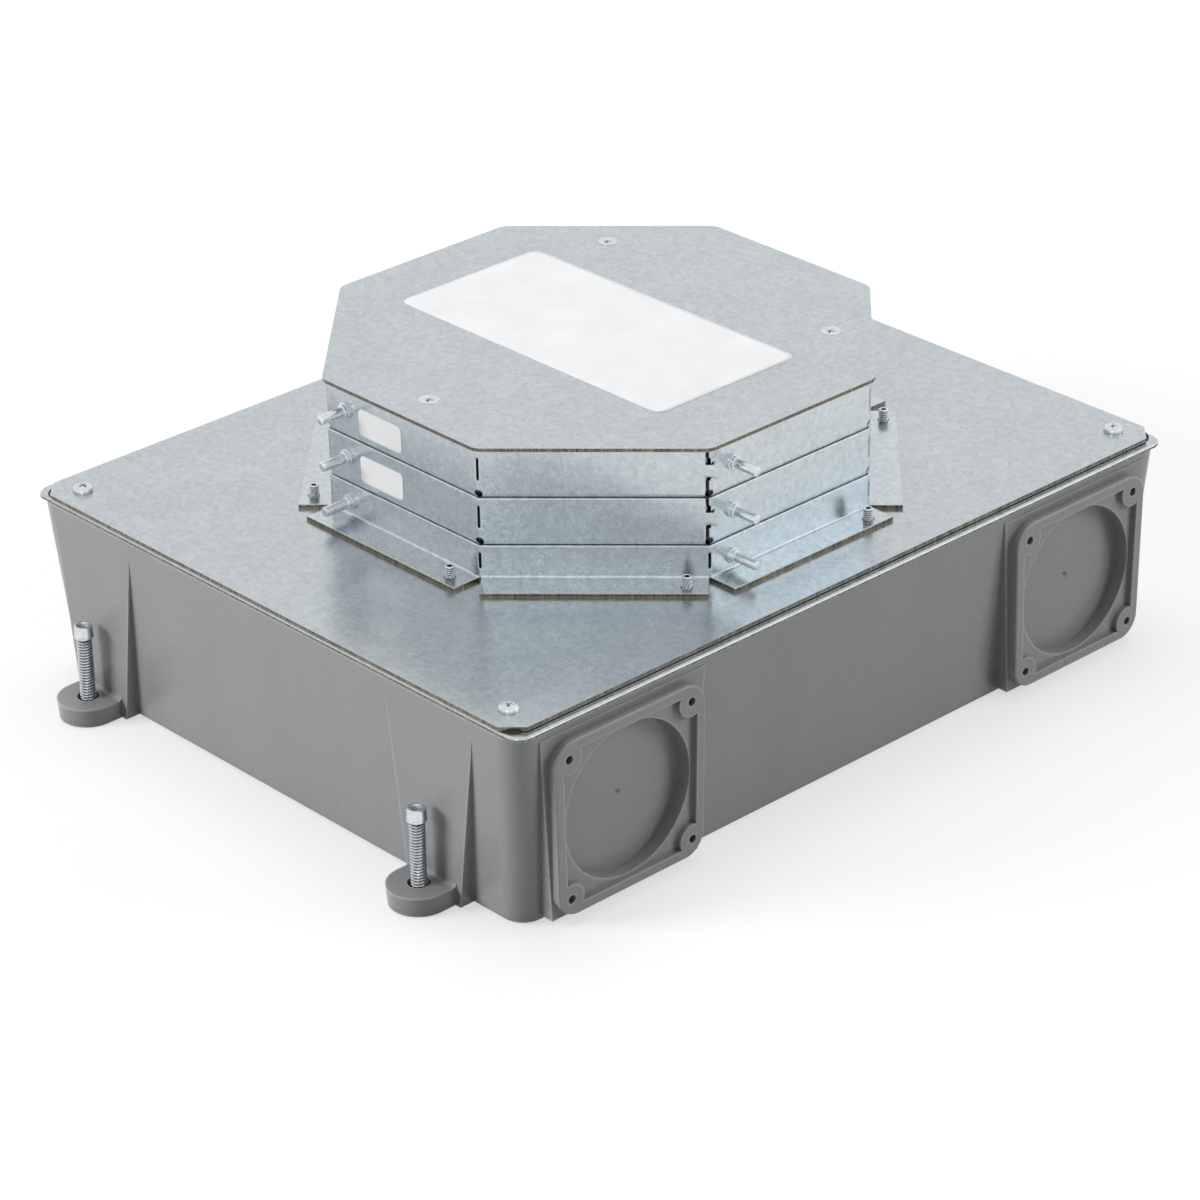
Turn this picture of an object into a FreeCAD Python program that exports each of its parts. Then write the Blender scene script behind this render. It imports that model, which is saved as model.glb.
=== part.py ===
"""Cast-in floor socket box.

A drafted PVC box stands on its floor and is levelled by four screws. A steel frame and a steel cover
close its top, and an octagonal riser of three sheet-metal rings stands on the cover round its throat.
A temporary cover closes the riser until the concrete has set.

Frame: origin at the middle of the box's underside. X runs along the two walls with the conduit hub
flanges, Y along the two walls with the levelling feet, Z is up. All sizes are in millimetres.
"""

import FreeCAD, Part
import math
import os

# ---- steel cover, frame and their seals -------------------------------------------------------
COVER_LENGTH = 355.6            # along X
COVER_WIDTH = 281.4             # along Y
COVER_THICKNESS = 1.6
COVER_CORNER_CUT = 7.7          # leg of the mitred corners
FRAME_THICKNESS = 1.6
FRAME_LEDGE = 3.4               # how far the frame shows past the cover on the hub sides
FRAME_CORNER_RADIUS = 6.5
FRAME_EDGE_RADIUS = 1.1         # rolled long edges
FRAME_BORDER = 25.0             # width of the frame's border round its opening
FRAME_OPENING_RADIUS = 8.0
SEAL_THICKNESS = 0.4
SEAL_WIDTH = 6.0
SEAL_INSET = 0.9                # how far a seal's edge lies inside the part above it

# ---- moulded box ------------------------------------------------------------------------------
BOX_HEIGHT = 83.2
BOX_RIM_INSET_X = 0.2           # frame edge to the box's rim, foot sides
BOX_RIM_INSET_Y = 1.4           # frame edge to the box's rim, hub sides
BOX_DRAFT = 6.2                 # how far each wall leans in over the box's height
BOX_CORNER_RADIUS = 10.0
BOX_BOTTOM_CHAMFER = 1.2
BOX_WALL = 4.0
BOX_FLOOR = 4.2

# ---- conduit hub flanges ----------------------------------------------------------------------
HUB_CORNER_DISTANCE = 53.0      # centre of each flange from the end of its wall at the rim
HUB_TOP_MARGIN = 5.9            # flange to the box's rim
HUB_BOTTOM_MARGIN = 3.9         # flange to the box's underside
HUB_TOP_EXTRA = 3.2             # how much wider than high the flange is at its top
HUB_BOTTOM_EXTRA = 0.6          # the same at its bottom, towards which it tapers
HUB_CORNER_RADIUS = 9.5
HUB_FACE_OUT = 4.2              # flange face past the rim
HUB_PAD_OUT = 0.2               # upright pad behind the flange, past the rim
HUB_PAD_TOP_MARGIN = 3.2        # pad to the box's rim
HUB_PAD_BOTTOM = 2.6
HUB_PAD_TOP_EXTRA = 3.3         # pad past the flange on each side at its top
HUB_PAD_BOTTOM_EXTRA = 0.4
HUB_BORDER = 4.2
HUB_POCKET_DEPTH = 2.2
HUB_DISC_MARGIN = 4.95          # flange's edge to the hole-saw blank
HUB_DISC_DEPTH = 8.2
HUB_BACKING = 4.0               # wall left behind the blank
HUB_DIMPLE_DIAMETER = 3.4
HUB_DIMPLE_DEPTH = 1.3
HUB_HOLE_INSET_X = 6.65         # screw holes from the flange's mean side
HUB_HOLE_INSET_Z = 7.2          # screw holes from the flange's top and bottom
HUB_HOLE_DIAMETER = 3.6
HUB_HOLE_DEPTH = 8.0
HUB_BOSS_RADIUS = 6.3
HUB_EDGE_RADIUS = 0.7

# ---- levelling feet and screws ----------------------------------------------------------------
FOOT_OUT = 6.7                  # screw axis past the rim
FOOT_NEAR_INSET = 48.8          # screw axis of the foot nearer the middle, from the end of its wall
FOOT_FAR_INSET = 34.6           # screw axis of the foot nearer the corner
FOOT_TOP_RADIUS = 12.7
FOOT_BOTTOM_RADIUS = 12.0
FOOT_THICKNESS = 8.0
FOOT_HOLE_EXTRA = 2.65          # hole for the insert, over the levelling screw's diameter
FOOT_LEDGE_HEIGHT = 1.5         # ledge under the threaded insert
FOOT_PAD_INSET = 0.6            # upright pad behind the foot, inside the rim
FOOT_PAD_HALF_TOP = 24.6
FOOT_PAD_HALF_BOTTOM = 14.8
FOOT_PAD_TOP_MARGIN = 3.2       # pad to the box's rim
FOOT_FILLET = 2.0
LEVELLING_SCREW_DIAMETER = 6.35
LEVELLING_SCREW_LENGTH = 31.75  # under the head
LEVELLING_SCREW_TIP_Z = 3.2
LEVELLING_HEAD_FLATS = 7.1
LEVELLING_HEAD_HEIGHT = 4.4
LEVELLING_TIP_CHAMFER = 0.8
LEVELLING_COLLAR_EXTRA = 1.55   # washer face over the screw's diameter
LEVELLING_COLLAR_HEIGHT = 0.9
LEVELLING_RECESS_DIAMETER = 4.8
LEVELLING_RECESS_DEPTH = 1.3
THREAD_CLEARANCE = 0.25         # radial gap of a plain shank in its threaded hole
INSERT_GAP = 0.05               # radial gap round a pressed insert
LEVELLING_INSERT_LENGTH = 3.8

# ---- cover screws -----------------------------------------------------------------------------
COVER_SCREW_INSET_X = 11.7      # from the cover's edges
COVER_SCREW_INSET_Y = 14.2
COVER_SCREW_DIAMETER = 4.17
COVER_SCREW_LENGTH = 12.7
PAN_HEAD_DIAMETER = 8.1
PAN_HEAD_HEIGHT = 2.6
PAN_HEAD_RIM = 1.15             # height of the straight rim
PAN_HEAD_FLAT_RADIUS = 1.7      # flat middle of the crown
PAN_HEAD_BULGE = 0.4            # crown's arc off its chord
RECESS_REACH = 2.2              # driver recess: half length, width and depth of its cross
RECESS_WIDTH = 0.9
RECESS_DEPTH = 1.5
SCREW_HOLE_CLEARANCE = 0.4      # radial
COVER_POST_RADIUS = 7.6         # rounded post in each corner of the box
COVER_INSERT_DIAMETER = 6.4
COVER_INSERT_LENGTH = 8.0

# ---- octagonal riser --------------------------------------------------------------------------
RING_FLATS = 212.1              # across the flats, outside
RING_SHEET = 1.6
BASE_RING_HEIGHT = 15.2
SPACER_RING_HEIGHT = 20.1
RING_BEND_RADIUS = 1.7
RING_FLANGE_WIDTH = 21.0        # inward flange of a spacer ring, from its outer face
THROAT_LEDGE = 6.05             # ring's outer face to the opening in the cover
BASE_FLANGE_WIDTH = 13.2        # outward flange tabs
BASE_TAB_END_GAP = 0.43         # tab's end to the ring's corner
BASE_BEND_RADIUS = 0.9
CORNER_SLOT_WIDTH = 1.2
CORNER_SLOT_TOP = 3.3           # below the ring's top edge
SPACER_SLOT_LENGTH = 9.4
BASE_SLOT_TOP = 3.0
BASE_SLOT_LENGTH = 6.8
CORNER_RELIEF_DIAMETER = 3.4
FLANGE_SLIT_WIDTH = 1.0
SEAM_GAP = 1.1
SEAM_ANGLE = 270.0              # outward direction of the wall on the seam's notched side
SEAM_TAB_REACH = 3.0            # how far the locking tab stands past the corner
SEAM_TAB_NECK = 5.0
SEAM_TAB_HEAD = 6.4
SEAM_TAB_HEAD_LENGTH = 1.4
SEAM_TAB_DROP = 8.6             # tab centre below the ring's top edge
SEAM_NOTCH_CLEARANCE = 0.5
EAR_ANGLES = (45.0, 180.0, 315.0)
EAR_WIDTH = 18.0
EAR_CORNER_RADIUS = 4.0
COVER_BOLT_INSET = 15.05        # temporary cover screws from the ring's outer face

# ---- ring studs and adjusting screws ----------------------------------------------------------
STUD_WALLS = (0.0, 90.0, 180.0, 270.0)
STUD_CORNER_DISTANCE = 11.93    # stud's axis to the ring's corner
STUD_DROP = 8.4                 # below the ring's top edge
BASE_STUD_DROP = 7.9
STUD_DIAMETER = 4.0
STUD_LENGTH = 13.5              # outside the wall
STUD_COLLAR_DIAMETER = 6.8
STUD_COLLAR_LENGTH = 1.4
STUD_RING_DIAMETER = 5.6
STUD_RING_LENGTH = 1.1
STUD_HEAD_DIAMETER = 6.4
STUD_HEAD_LENGTH = 0.8
SET_SCREW_DIAMETER = 4.17
SET_SCREW_LENGTH = 6.35
SET_SCREW_SOCKET_FLATS = 2.0
SET_SCREW_SOCKET_DEPTH = 2.4
SET_SCREW_CORNER_DISTANCE = 8.73    # screw's axis to the ring's corner
SET_SCREW_OUT = 7.6             # from the ring's outer face

# ---- temporary cover --------------------------------------------------------------------------
TEMPORARY_COVER_OVERHANG = 1.5
TEMPORARY_COVER_THICKNESS = 1.6
TEMPORARY_COVER_CORNER_RADIUS = 7.0
FLAT_HEAD_DIAMETER = 8.4
FLAT_HEAD_RIM = 0.35            # straight rim of the head, left proud of its countersink
FLAT_HEAD_PROUD = 0.2
FLAT_SCREW_DIAMETER = 4.17
FLAT_SCREW_REACH = 2.4          # past the clinch nuts
CLINCH_NUT_FLATS = 7.9
CLINCH_NUT_HEIGHT = 3.2

# ---- partition and earthing -------------------------------------------------------------------
PARTITION_THICKNESS = 1.2
PARTITION_HEIGHT = 58.0
PARTITION_SIDE_CLEARANCE = 0.6
PARTITION_TOP_FLANGE = 8.0
PARTITION_GRIP_LENGTH = 60.0
PARTITION_GRIP_HEIGHT = 16.0
PARTITION_GRIP_DROP = 16.0
GUIDE_RIB_WIDTH = 3.0
GUIDE_RIB_DEPTH = 6.0           # past the wall's inner face at the floor
GUIDE_CLEARANCE = 0.3           # each side of the partition
EARTH_TAB_WIDTH = 18.0
EARTH_TAB_DROP = 17.0
EARTH_TAB_Y = 60.0
EARTH_SCREW_DIAMETER = 4.8
EARTH_SCREW_LENGTH = 9.5
EARTH_HEAD_FLATS = 8.0
EARTH_HEAD_HEIGHT = 3.0
EARTH_COLLAR_DIAMETER = 10.6
EARTH_COLLAR_HEIGHT = 1.0
EARTH_SCREW_DROP = 10.0         # below the frame

# ---- levels and outlines that follow ----------------------------------------------------------
FRAME_BOTTOM = BOX_HEIGHT + SEAL_THICKNESS
FRAME_TOP = FRAME_BOTTOM + FRAME_THICKNESS
COVER_BOTTOM = FRAME_TOP + SEAL_THICKNESS
COVER_TOP = COVER_BOTTOM + COVER_THICKNESS
BASE_RING_TOP = COVER_TOP + BASE_RING_HEIGHT
MIDDLE_RING_TOP = BASE_RING_TOP + SPACER_RING_HEIGHT
TOP_RING_TOP = MIDDLE_RING_TOP + SPACER_RING_HEIGHT
FRAME_LENGTH = COVER_LENGTH
FRAME_WIDTH = COVER_WIDTH + 2 * FRAME_LEDGE
RIM_LENGTH = FRAME_LENGTH - 2 * BOX_RIM_INSET_X
RIM_BREADTH = FRAME_WIDTH - 2 * BOX_RIM_INSET_Y
HUB_HEIGHT = BOX_HEIGHT - HUB_TOP_MARGIN - HUB_BOTTOM_MARGIN
HUB_TOP_WIDTH = HUB_HEIGHT + HUB_TOP_EXTRA
HUB_BOTTOM_WIDTH = HUB_HEIGHT + HUB_BOTTOM_EXTRA
HUB_X = RIM_LENGTH / 2 - HUB_CORNER_DISTANCE
HUB_Z = HUB_BOTTOM_MARGIN + HUB_HEIGHT / 2
HUB_FACE_Y = RIM_BREADTH / 2 + HUB_FACE_OUT
HUB_PAD_Y = RIM_BREADTH / 2 + HUB_PAD_OUT
HUB_DISC_DIAMETER = HUB_HEIGHT - 2 * HUB_DISC_MARGIN
HUB_HOLE_SPACING_X = (HUB_TOP_WIDTH + HUB_BOTTOM_WIDTH) / 2 - 2 * HUB_HOLE_INSET_X
HUB_HOLE_SPACING_Z = HUB_HEIGHT - 2 * HUB_HOLE_INSET_Z
FOOT_X = RIM_LENGTH / 2 + FOOT_OUT
FOOT_PAD_X = RIM_LENGTH / 2 - FOOT_PAD_INSET
FOOT_Y_NEAR = RIM_BREADTH / 2 - FOOT_NEAR_INSET
FOOT_Y_FAR = RIM_BREADTH / 2 - FOOT_FAR_INSET
FOOT_HOLE_DIAMETER = LEVELLING_SCREW_DIAMETER + FOOT_HOLE_EXTRA
COVER_SCREW_X = COVER_LENGTH / 2 - COVER_SCREW_INSET_X
COVER_SCREW_Y = COVER_WIDTH / 2 - COVER_SCREW_INSET_Y
RING_HALF = RING_FLATS / 2
RING_EDGE_HALF = RING_HALF * math.tan(math.radians(22.5))
BASE_TAB_HALF = RING_EDGE_HALF - BASE_TAB_END_GAP
STUD_OFFSET = STUD_CORNER_DISTANCE - RING_EDGE_HALF             # both are along the wall,
SET_SCREW_OFFSET = RING_EDGE_HALF - SET_SCREW_CORNER_DISTANCE   # counter-clockwise from above
COVER_BOLT_RADIUS = RING_HALF - COVER_BOLT_INSET
RING_CORNER = RING_HALF / math.cos(math.radians(22.5))
WALL_ANGLES = [45.0 * k for k in range(8)]
CORNER_ANGLES = [22.5 + 45.0 * k for k in range(8)]
CUT_MARGIN = 1.0                # how far a cutting tool reaches past what it cuts
ROUND_END_EASE = 0.1            # short of a full half round, so that an end keeps its straight run
SAME_PLACE = 1e-3               # two coordinates this near are the same

ORIGIN = FreeCAD.Vector(0, 0, 0)
X_AXIS = FreeCAD.Vector(1, 0, 0)
Y_AXIS = FreeCAD.Vector(0, 1, 0)
Z_AXIS = FreeCAD.Vector(0, 0, 1)


# ---- outlines and simple solids ---------------------------------------------------------------
def point(x, y, z=0.0):
    return FreeCAD.Vector(x, y, z)


def rectangle(length, width):
    """Corners of a centred rectangle, counter-clockwise."""
    return [point(sx * length / 2, sy * width / 2) for sx, sy in ((-1, -1), (1, -1), (1, 1), (-1, 1))]


def octagon(half_flats):
    """Corners of a regular octagon with flats facing X, Y and the diagonals."""
    reach = half_flats / math.cos(math.radians(22.5))
    return [
        point(reach * math.cos(math.radians(a)), reach * math.sin(math.radians(a)))
        for a in CORNER_ANGLES
    ]


def hexagon(flats):
    """Corners of a regular hexagon."""
    reach = flats / 2 / math.cos(math.radians(30))
    return [
        point(reach * math.cos(math.radians(a)), reach * math.sin(math.radians(a)))
        for a in range(0, 360, 60)
    ]


def outline(corners, radius=0.0, z=0.0):
    """Closed wire through the corners at height z, with each corner rounded to the radius."""
    corners = [point(c.x, c.y, z) for c in corners]
    if radius <= 0:
        return Part.makePolygon(corners + [corners[0]])
    arcs = []
    for before, corner, after in zip(corners[-1:] + corners[:-1], corners, corners[1:] + corners[:1]):
        back = (before - corner).normalize()
        ahead = (after - corner).normalize()
        half_angle = back.getAngle(ahead) / 2
        run = radius / math.tan(half_angle)
        inward = (back + ahead).normalize()
        middle = corner + inward * (radius / math.sin(half_angle) - radius)
        arcs.append((corner + back * run, middle, corner + ahead * run))
    edges = []
    for arc, following in zip(arcs, arcs[1:] + arcs[:1]):
        edges.append(Part.Arc(*arc).toShape())
        edges.append(Part.LineSegment(arc[2], following[0]).toShape())
    return Part.Wire(edges)


def plate(corners, z_low, z_high, radius=0.0):
    """Solid between two heights with the given outline."""
    face = Part.Face(outline(corners, radius, z_low))
    return face.extrude(point(0, 0, z_high - z_low))


def block(x_range, y_range, z_range):
    """Box between the given limits."""
    size = [high - low for low, high in (x_range, y_range, z_range)]
    return Part.makeBox(*size, point(x_range[0], y_range[0], z_range[0]))


def cylinder(diameter, start, direction, length):
    return Part.makeCylinder(diameter / 2, length, start, direction)


def rod(diameter, x, y, z_low, z_high):
    """Upright cylinder."""
    return cylinder(diameter, point(x, y, z_low), Z_AXIS, z_high - z_low)


def turned(shape, angle):
    """Copy of the shape turned about the Z axis through the origin."""
    copy = shape.copy()
    copy.rotate(ORIGIN, Z_AXIS, angle)
    return copy


def edges_at(shape, axis, value):
    """Edges that lie wholly in the plane where the named coordinate has the value."""
    found = []
    for edge in shape.Edges:
        low, high = getattr(edge.BoundBox, axis + "Min"), getattr(edge.BoundBox, axis + "Max")
        if abs(low - value) < SAME_PLACE and abs(high - value) < SAME_PLACE:
            found.append(edge)
    return found


def fused(shapes):
    return shapes[0].fuse(shapes[1:]).removeSplitter()


def cross_recess(x, y, z_top):
    """Cross-shaped driver recess."""
    arm = block(
        (-RECESS_REACH, RECESS_REACH), (-RECESS_WIDTH / 2, RECESS_WIDTH / 2), (-RECESS_DEPTH, CUT_MARGIN)
    )
    cross = arm.fuse(turned(arm, 90))
    cross.translate(point(x, y, z_top))
    return cross


def mirrored_pairs(x, y):
    """The four places at plus and minus x and y."""
    return [(sx * x, sy * y) for sx in (-1, 1) for sy in (-1, 1)]


# ---- moulded box ------------------------------------------------------------------------------
def box_section(z, inset=0.0):
    """Outline of the drafted box at a height, moved inwards by the inset."""
    lean = BOX_DRAFT * (1 - z / BOX_HEIGHT)
    length = RIM_LENGTH - 2 * (lean + inset)
    width = RIM_BREADTH - 2 * (lean + inset)
    return outline(rectangle(length, width), BOX_CORNER_RADIUS - min(inset, BOX_WALL), z)


def inner_half_width(z):
    """Inner wall face from the middle plane along Y at a height."""
    return RIM_BREADTH / 2 - BOX_DRAFT * (1 - z / BOX_HEIGHT) - BOX_WALL


def box_shell():
    sections = [
        box_section(0.0, BOX_BOTTOM_CHAMFER),
        box_section(BOX_BOTTOM_CHAMFER),
        box_section(BOX_HEIGHT),
    ]
    return Part.makeLoft(sections, True, True)


def box_cavity():
    """Inside of the box, open at the top."""
    return Part.makeLoft([box_section(BOX_FLOOR, BOX_WALL), box_section(BOX_HEIGHT, BOX_WALL)], True, True)


def hub_flange():
    """Pad and flange of one conduit hub on the -Y wall, centred on X = 0."""
    half_bottom = HUB_BOTTOM_WIDTH / 2 + HUB_PAD_BOTTOM_EXTRA
    half_top = HUB_TOP_WIDTH / 2 + HUB_PAD_TOP_EXTRA
    top = BOX_HEIGHT - HUB_PAD_TOP_MARGIN
    pad_corners = [
        (-half_bottom, HUB_PAD_BOTTOM),
        (half_bottom, HUB_PAD_BOTTOM),
        (half_top, top),
        (-half_top, top),
    ]
    wire = Part.makePolygon([point(x, -HUB_PAD_Y, z) for x, z in pad_corners + pad_corners[:1]])
    pad = Part.Face(wire).extrude(point(0, BOX_DRAFT + BOX_WALL, 0))
    flange = hub_plate(0.0, HUB_FACE_Y - HUB_PAD_Y + CUT_MARGIN)
    flange = flange.makeFillet(HUB_EDGE_RADIUS, edges_at(flange, "Y", -HUB_FACE_Y))
    return pad.fuse(flange)


def hub_plate(inset, depth):
    """Plate with the flange's outline moved inwards by the inset, behind the hub face plane."""
    half_height = HUB_HEIGHT / 2 - inset
    half_top = HUB_TOP_WIDTH / 2 - inset
    half_bottom = HUB_BOTTOM_WIDTH / 2 - inset
    corners = [
        point(-half_bottom, -half_height),
        point(half_bottom, -half_height),
        point(half_top, half_height),
        point(-half_top, half_height),
    ]
    shape = plate(corners, 0, depth, HUB_CORNER_RADIUS - inset)
    shape.rotate(ORIGIN, X_AXIS, 90)
    shape.translate(point(0, -HUB_FACE_Y + depth, HUB_Z))
    return shape


def hub_recess():
    """Pocket, hole-saw blank, centre dimple and screw holes of one hub."""
    pocket = hub_plate(HUB_BORDER, HUB_POCKET_DEPTH)
    holes = [(x, HUB_Z + z) for x, z in mirrored_pairs(HUB_HOLE_SPACING_X / 2, HUB_HOLE_SPACING_Z / 2)]
    bosses = [
        cylinder(2 * HUB_BOSS_RADIUS, point(x, -HUB_FACE_Y, z), Y_AXIS, HUB_POCKET_DEPTH) for x, z in holes
    ]
    pocket = pocket.cut(bosses)
    blank = cylinder(HUB_DISC_DIAMETER, point(0, -HUB_FACE_Y, HUB_Z), Y_AXIS, HUB_DISC_DEPTH)
    floor = point(0, -HUB_FACE_Y + HUB_DISC_DEPTH, HUB_Z)
    dimple = Part.makeCone(HUB_DIMPLE_DIAMETER / 2, 0, HUB_DIMPLE_DEPTH, floor, Y_AXIS)
    bores = [cylinder(HUB_HOLE_DIAMETER, point(x, -HUB_FACE_Y, z), Y_AXIS, HUB_HOLE_DEPTH) for x, z in holes]
    return pocket.fuse([blank, dimple] + bores)


def hub_backing(x, side):
    """Thick stretch of wall behind one hub's blank."""
    half = HUB_DISC_DIAMETER / 2 + HUB_BACKING
    y_range = sorted((side * (HUB_FACE_Y - HUB_DISC_DEPTH - HUB_BACKING), side * HUB_FACE_Y))
    return block((x - half, x + half), y_range, (BOX_FLOOR / 2, HUB_Z + half))


def foot(y):
    """Levelling foot with its pad, on the -X wall."""
    inner_x = -(FOOT_PAD_X - BOX_DRAFT - BOX_WALL)
    pad_corners = [
        (-FOOT_PAD_HALF_BOTTOM, 0),
        (FOOT_PAD_HALF_BOTTOM, 0),
        (FOOT_PAD_HALF_TOP, BOX_HEIGHT - FOOT_PAD_TOP_MARGIN),
        (-FOOT_PAD_HALF_TOP, BOX_HEIGHT - FOOT_PAD_TOP_MARGIN),
    ]
    wire = Part.makePolygon([point(-FOOT_PAD_X, y + dy, z) for dy, z in pad_corners + pad_corners[:1]])
    pad = Part.Face(wire).extrude(point(FOOT_PAD_X + inner_x, 0, 0))
    levels = ((0, FOOT_BOTTOM_RADIUS), (FOOT_THICKNESS, FOOT_TOP_RADIUS))
    sections = []
    for z, radius in levels:
        corners = [(-FOOT_X, y - radius), (inner_x, y - radius), (inner_x, y + radius), (-FOOT_X, y + radius)]
        sections.append(Part.makePolygon([point(px, py, z) for px, py in corners + corners[:1]]))
    arm = Part.makeLoft(sections, True, True)
    tip = Part.makeCone(FOOT_BOTTOM_RADIUS, FOOT_TOP_RADIUS, FOOT_THICKNESS, point(-FOOT_X, y, 0))
    body = fused([pad, arm, tip])
    on_top = edges_at(body, "Z", FOOT_THICKNESS)
    seat = [edge for edge in on_top if abs(edge.CenterOfMass.x + FOOT_PAD_X) < SAME_PLACE]
    return body.makeFillet(FOOT_FILLET, seat)


def foot_bore(y):
    """Stepped hole through one foot for its threaded insert and screw."""
    wide = rod(FOOT_HOLE_DIAMETER, -FOOT_X, y, FOOT_LEDGE_HEIGHT, FOOT_THICKNESS + CUT_MARGIN)
    narrow_diameter = LEVELLING_SCREW_DIAMETER + 4 * THREAD_CLEARANCE
    return wide.fuse(rod(narrow_diameter, -FOOT_X, y, -CUT_MARGIN, FOOT_LEDGE_HEIGHT + CUT_MARGIN))


def guide_ribs():
    """Two pairs of upright ribs that hold the partition by its ends."""
    slot = PARTITION_THICKNESS / 2 + GUIDE_CLEARANCE
    start = inner_half_width(BOX_FLOOR) - GUIDE_RIB_DEPTH
    stop = inner_half_width(BOX_HEIGHT) + BOX_WALL / 2
    top = BOX_FLOOR + PARTITION_HEIGHT
    pair = [
        block(x_range, (start, stop), (BOX_FLOOR / 2, top))
        for x_range in ((slot, slot + GUIDE_RIB_WIDTH), (-slot - GUIDE_RIB_WIDTH, -slot))
    ]
    return pair + [turned(rib, 180) for rib in pair]


def corner_post(x, y):
    """Upright post in a corner of the box, round a cover screw."""
    reach_x = RIM_LENGTH / 2 - abs(x)
    reach_y = RIM_BREADTH / 2 - abs(y)
    post = rectangle(COVER_POST_RADIUS + reach_x, COVER_POST_RADIUS + reach_y)
    shape = plate(post, BOX_FLOOR / 2, BOX_HEIGHT, COVER_POST_RADIUS - ROUND_END_EASE)
    shape.translate(
        point(
            math.copysign(abs(x) + (reach_x - COVER_POST_RADIUS) / 2, x),
            math.copysign(abs(y) + (reach_y - COVER_POST_RADIUS) / 2, y),
        )
    )
    return shape


def foot_places():
    """Turn about Z and Y place of each foot, as built on the -X wall."""
    return [(turn, y) for turn in (0, 180) for y in (-FOOT_Y_NEAR, FOOT_Y_FAR)]


def pvc_box():
    hubs = [(turn, x) for turn in (0, 180) for x in (-HUB_X, HUB_X)]

    def on_hub(shape, turn, x):
        copy = shape.copy()
        copy.translate(point(x, 0, 0))
        return turned(copy, turn)

    outside = [box_shell()]
    outside += [on_hub(hub_flange(), turn, x) for turn, x in hubs]
    outside += [turned(foot(y), turn) for turn, y in foot_places()]
    skin = fused(outside)
    skin = skin.cut([on_hub(hub_recess(), turn, x) for turn, x in hubs])
    inside = [corner_post(x, y) for x, y in mirrored_pairs(COVER_SCREW_X, COVER_SCREW_Y)]
    inside += [hub_backing(x, side) for x, side in mirrored_pairs(HUB_X, 1)]
    inside += guide_ribs()
    cavity = box_cavity().cut(inside)
    body = skin.cut(cavity)
    bores = [turned(foot_bore(y), turn) for turn, y in foot_places()]
    depth = COVER_INSERT_LENGTH + COVER_SCREW_LENGTH / 2
    for x, y in mirrored_pairs(COVER_SCREW_X, COVER_SCREW_Y):
        seat = BOX_HEIGHT - COVER_INSERT_LENGTH
        bores.append(rod(COVER_INSERT_DIAMETER + 2 * INSERT_GAP, x, y, seat, BOX_HEIGHT + CUT_MARGIN))
        clearance = COVER_SCREW_DIAMETER + 2 * SCREW_HOLE_CLEARANCE
        bores.append(rod(clearance, x, y, BOX_HEIGHT - depth, BOX_HEIGHT))
    return body.cut(bores).removeSplitter()


# ---- seals, frame and cover -------------------------------------------------------------------
def screw_holes(diameter, z_low, z_high):
    return [
        rod(diameter, x, y, z_low - CUT_MARGIN, z_high + CUT_MARGIN)
        for x, y in mirrored_pairs(COVER_SCREW_X, COVER_SCREW_Y)
    ]


def seal(length, width, z):
    """Flat foam seal, carried inwards at its corners round the cover screws."""
    sheet = plate(rectangle(length, width), z, z + SEAL_THICKNESS, FRAME_CORNER_RADIUS)
    opening = rectangle(length - 2 * SEAL_WIDTH, width - 2 * SEAL_WIDTH)
    opening = plate(opening, z - CUT_MARGIN, z + 2 * CUT_MARGIN, FRAME_OPENING_RADIUS)
    pads = []
    for x, y in mirrored_pairs(COVER_SCREW_X, COVER_SCREW_Y):
        pads.append(
            block(
                sorted((x - math.copysign(COVER_POST_RADIUS, x), math.copysign(length, x))),
                sorted((y - math.copysign(COVER_POST_RADIUS, y), math.copysign(width, y))),
                (z - 2 * CUT_MARGIN, z + 3 * CUT_MARGIN),
            )
        )
    sheet = sheet.cut(opening.cut(pads))
    return sheet.cut(screw_holes(COVER_SCREW_DIAMETER + 4 * SCREW_HOLE_CLEARANCE, z, z)).removeSplitter()


def rim_seal():
    return seal(RIM_LENGTH - 2 * SEAL_INSET, RIM_BREADTH - 2 * SEAL_INSET, BOX_HEIGHT)


def cover_seal():
    return seal(COVER_LENGTH - 2 * SEAL_INSET, COVER_WIDTH - 2 * SEAL_INSET, FRAME_TOP)


def frame_opening_half_length():
    return FRAME_LENGTH / 2 - FRAME_BORDER


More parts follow.
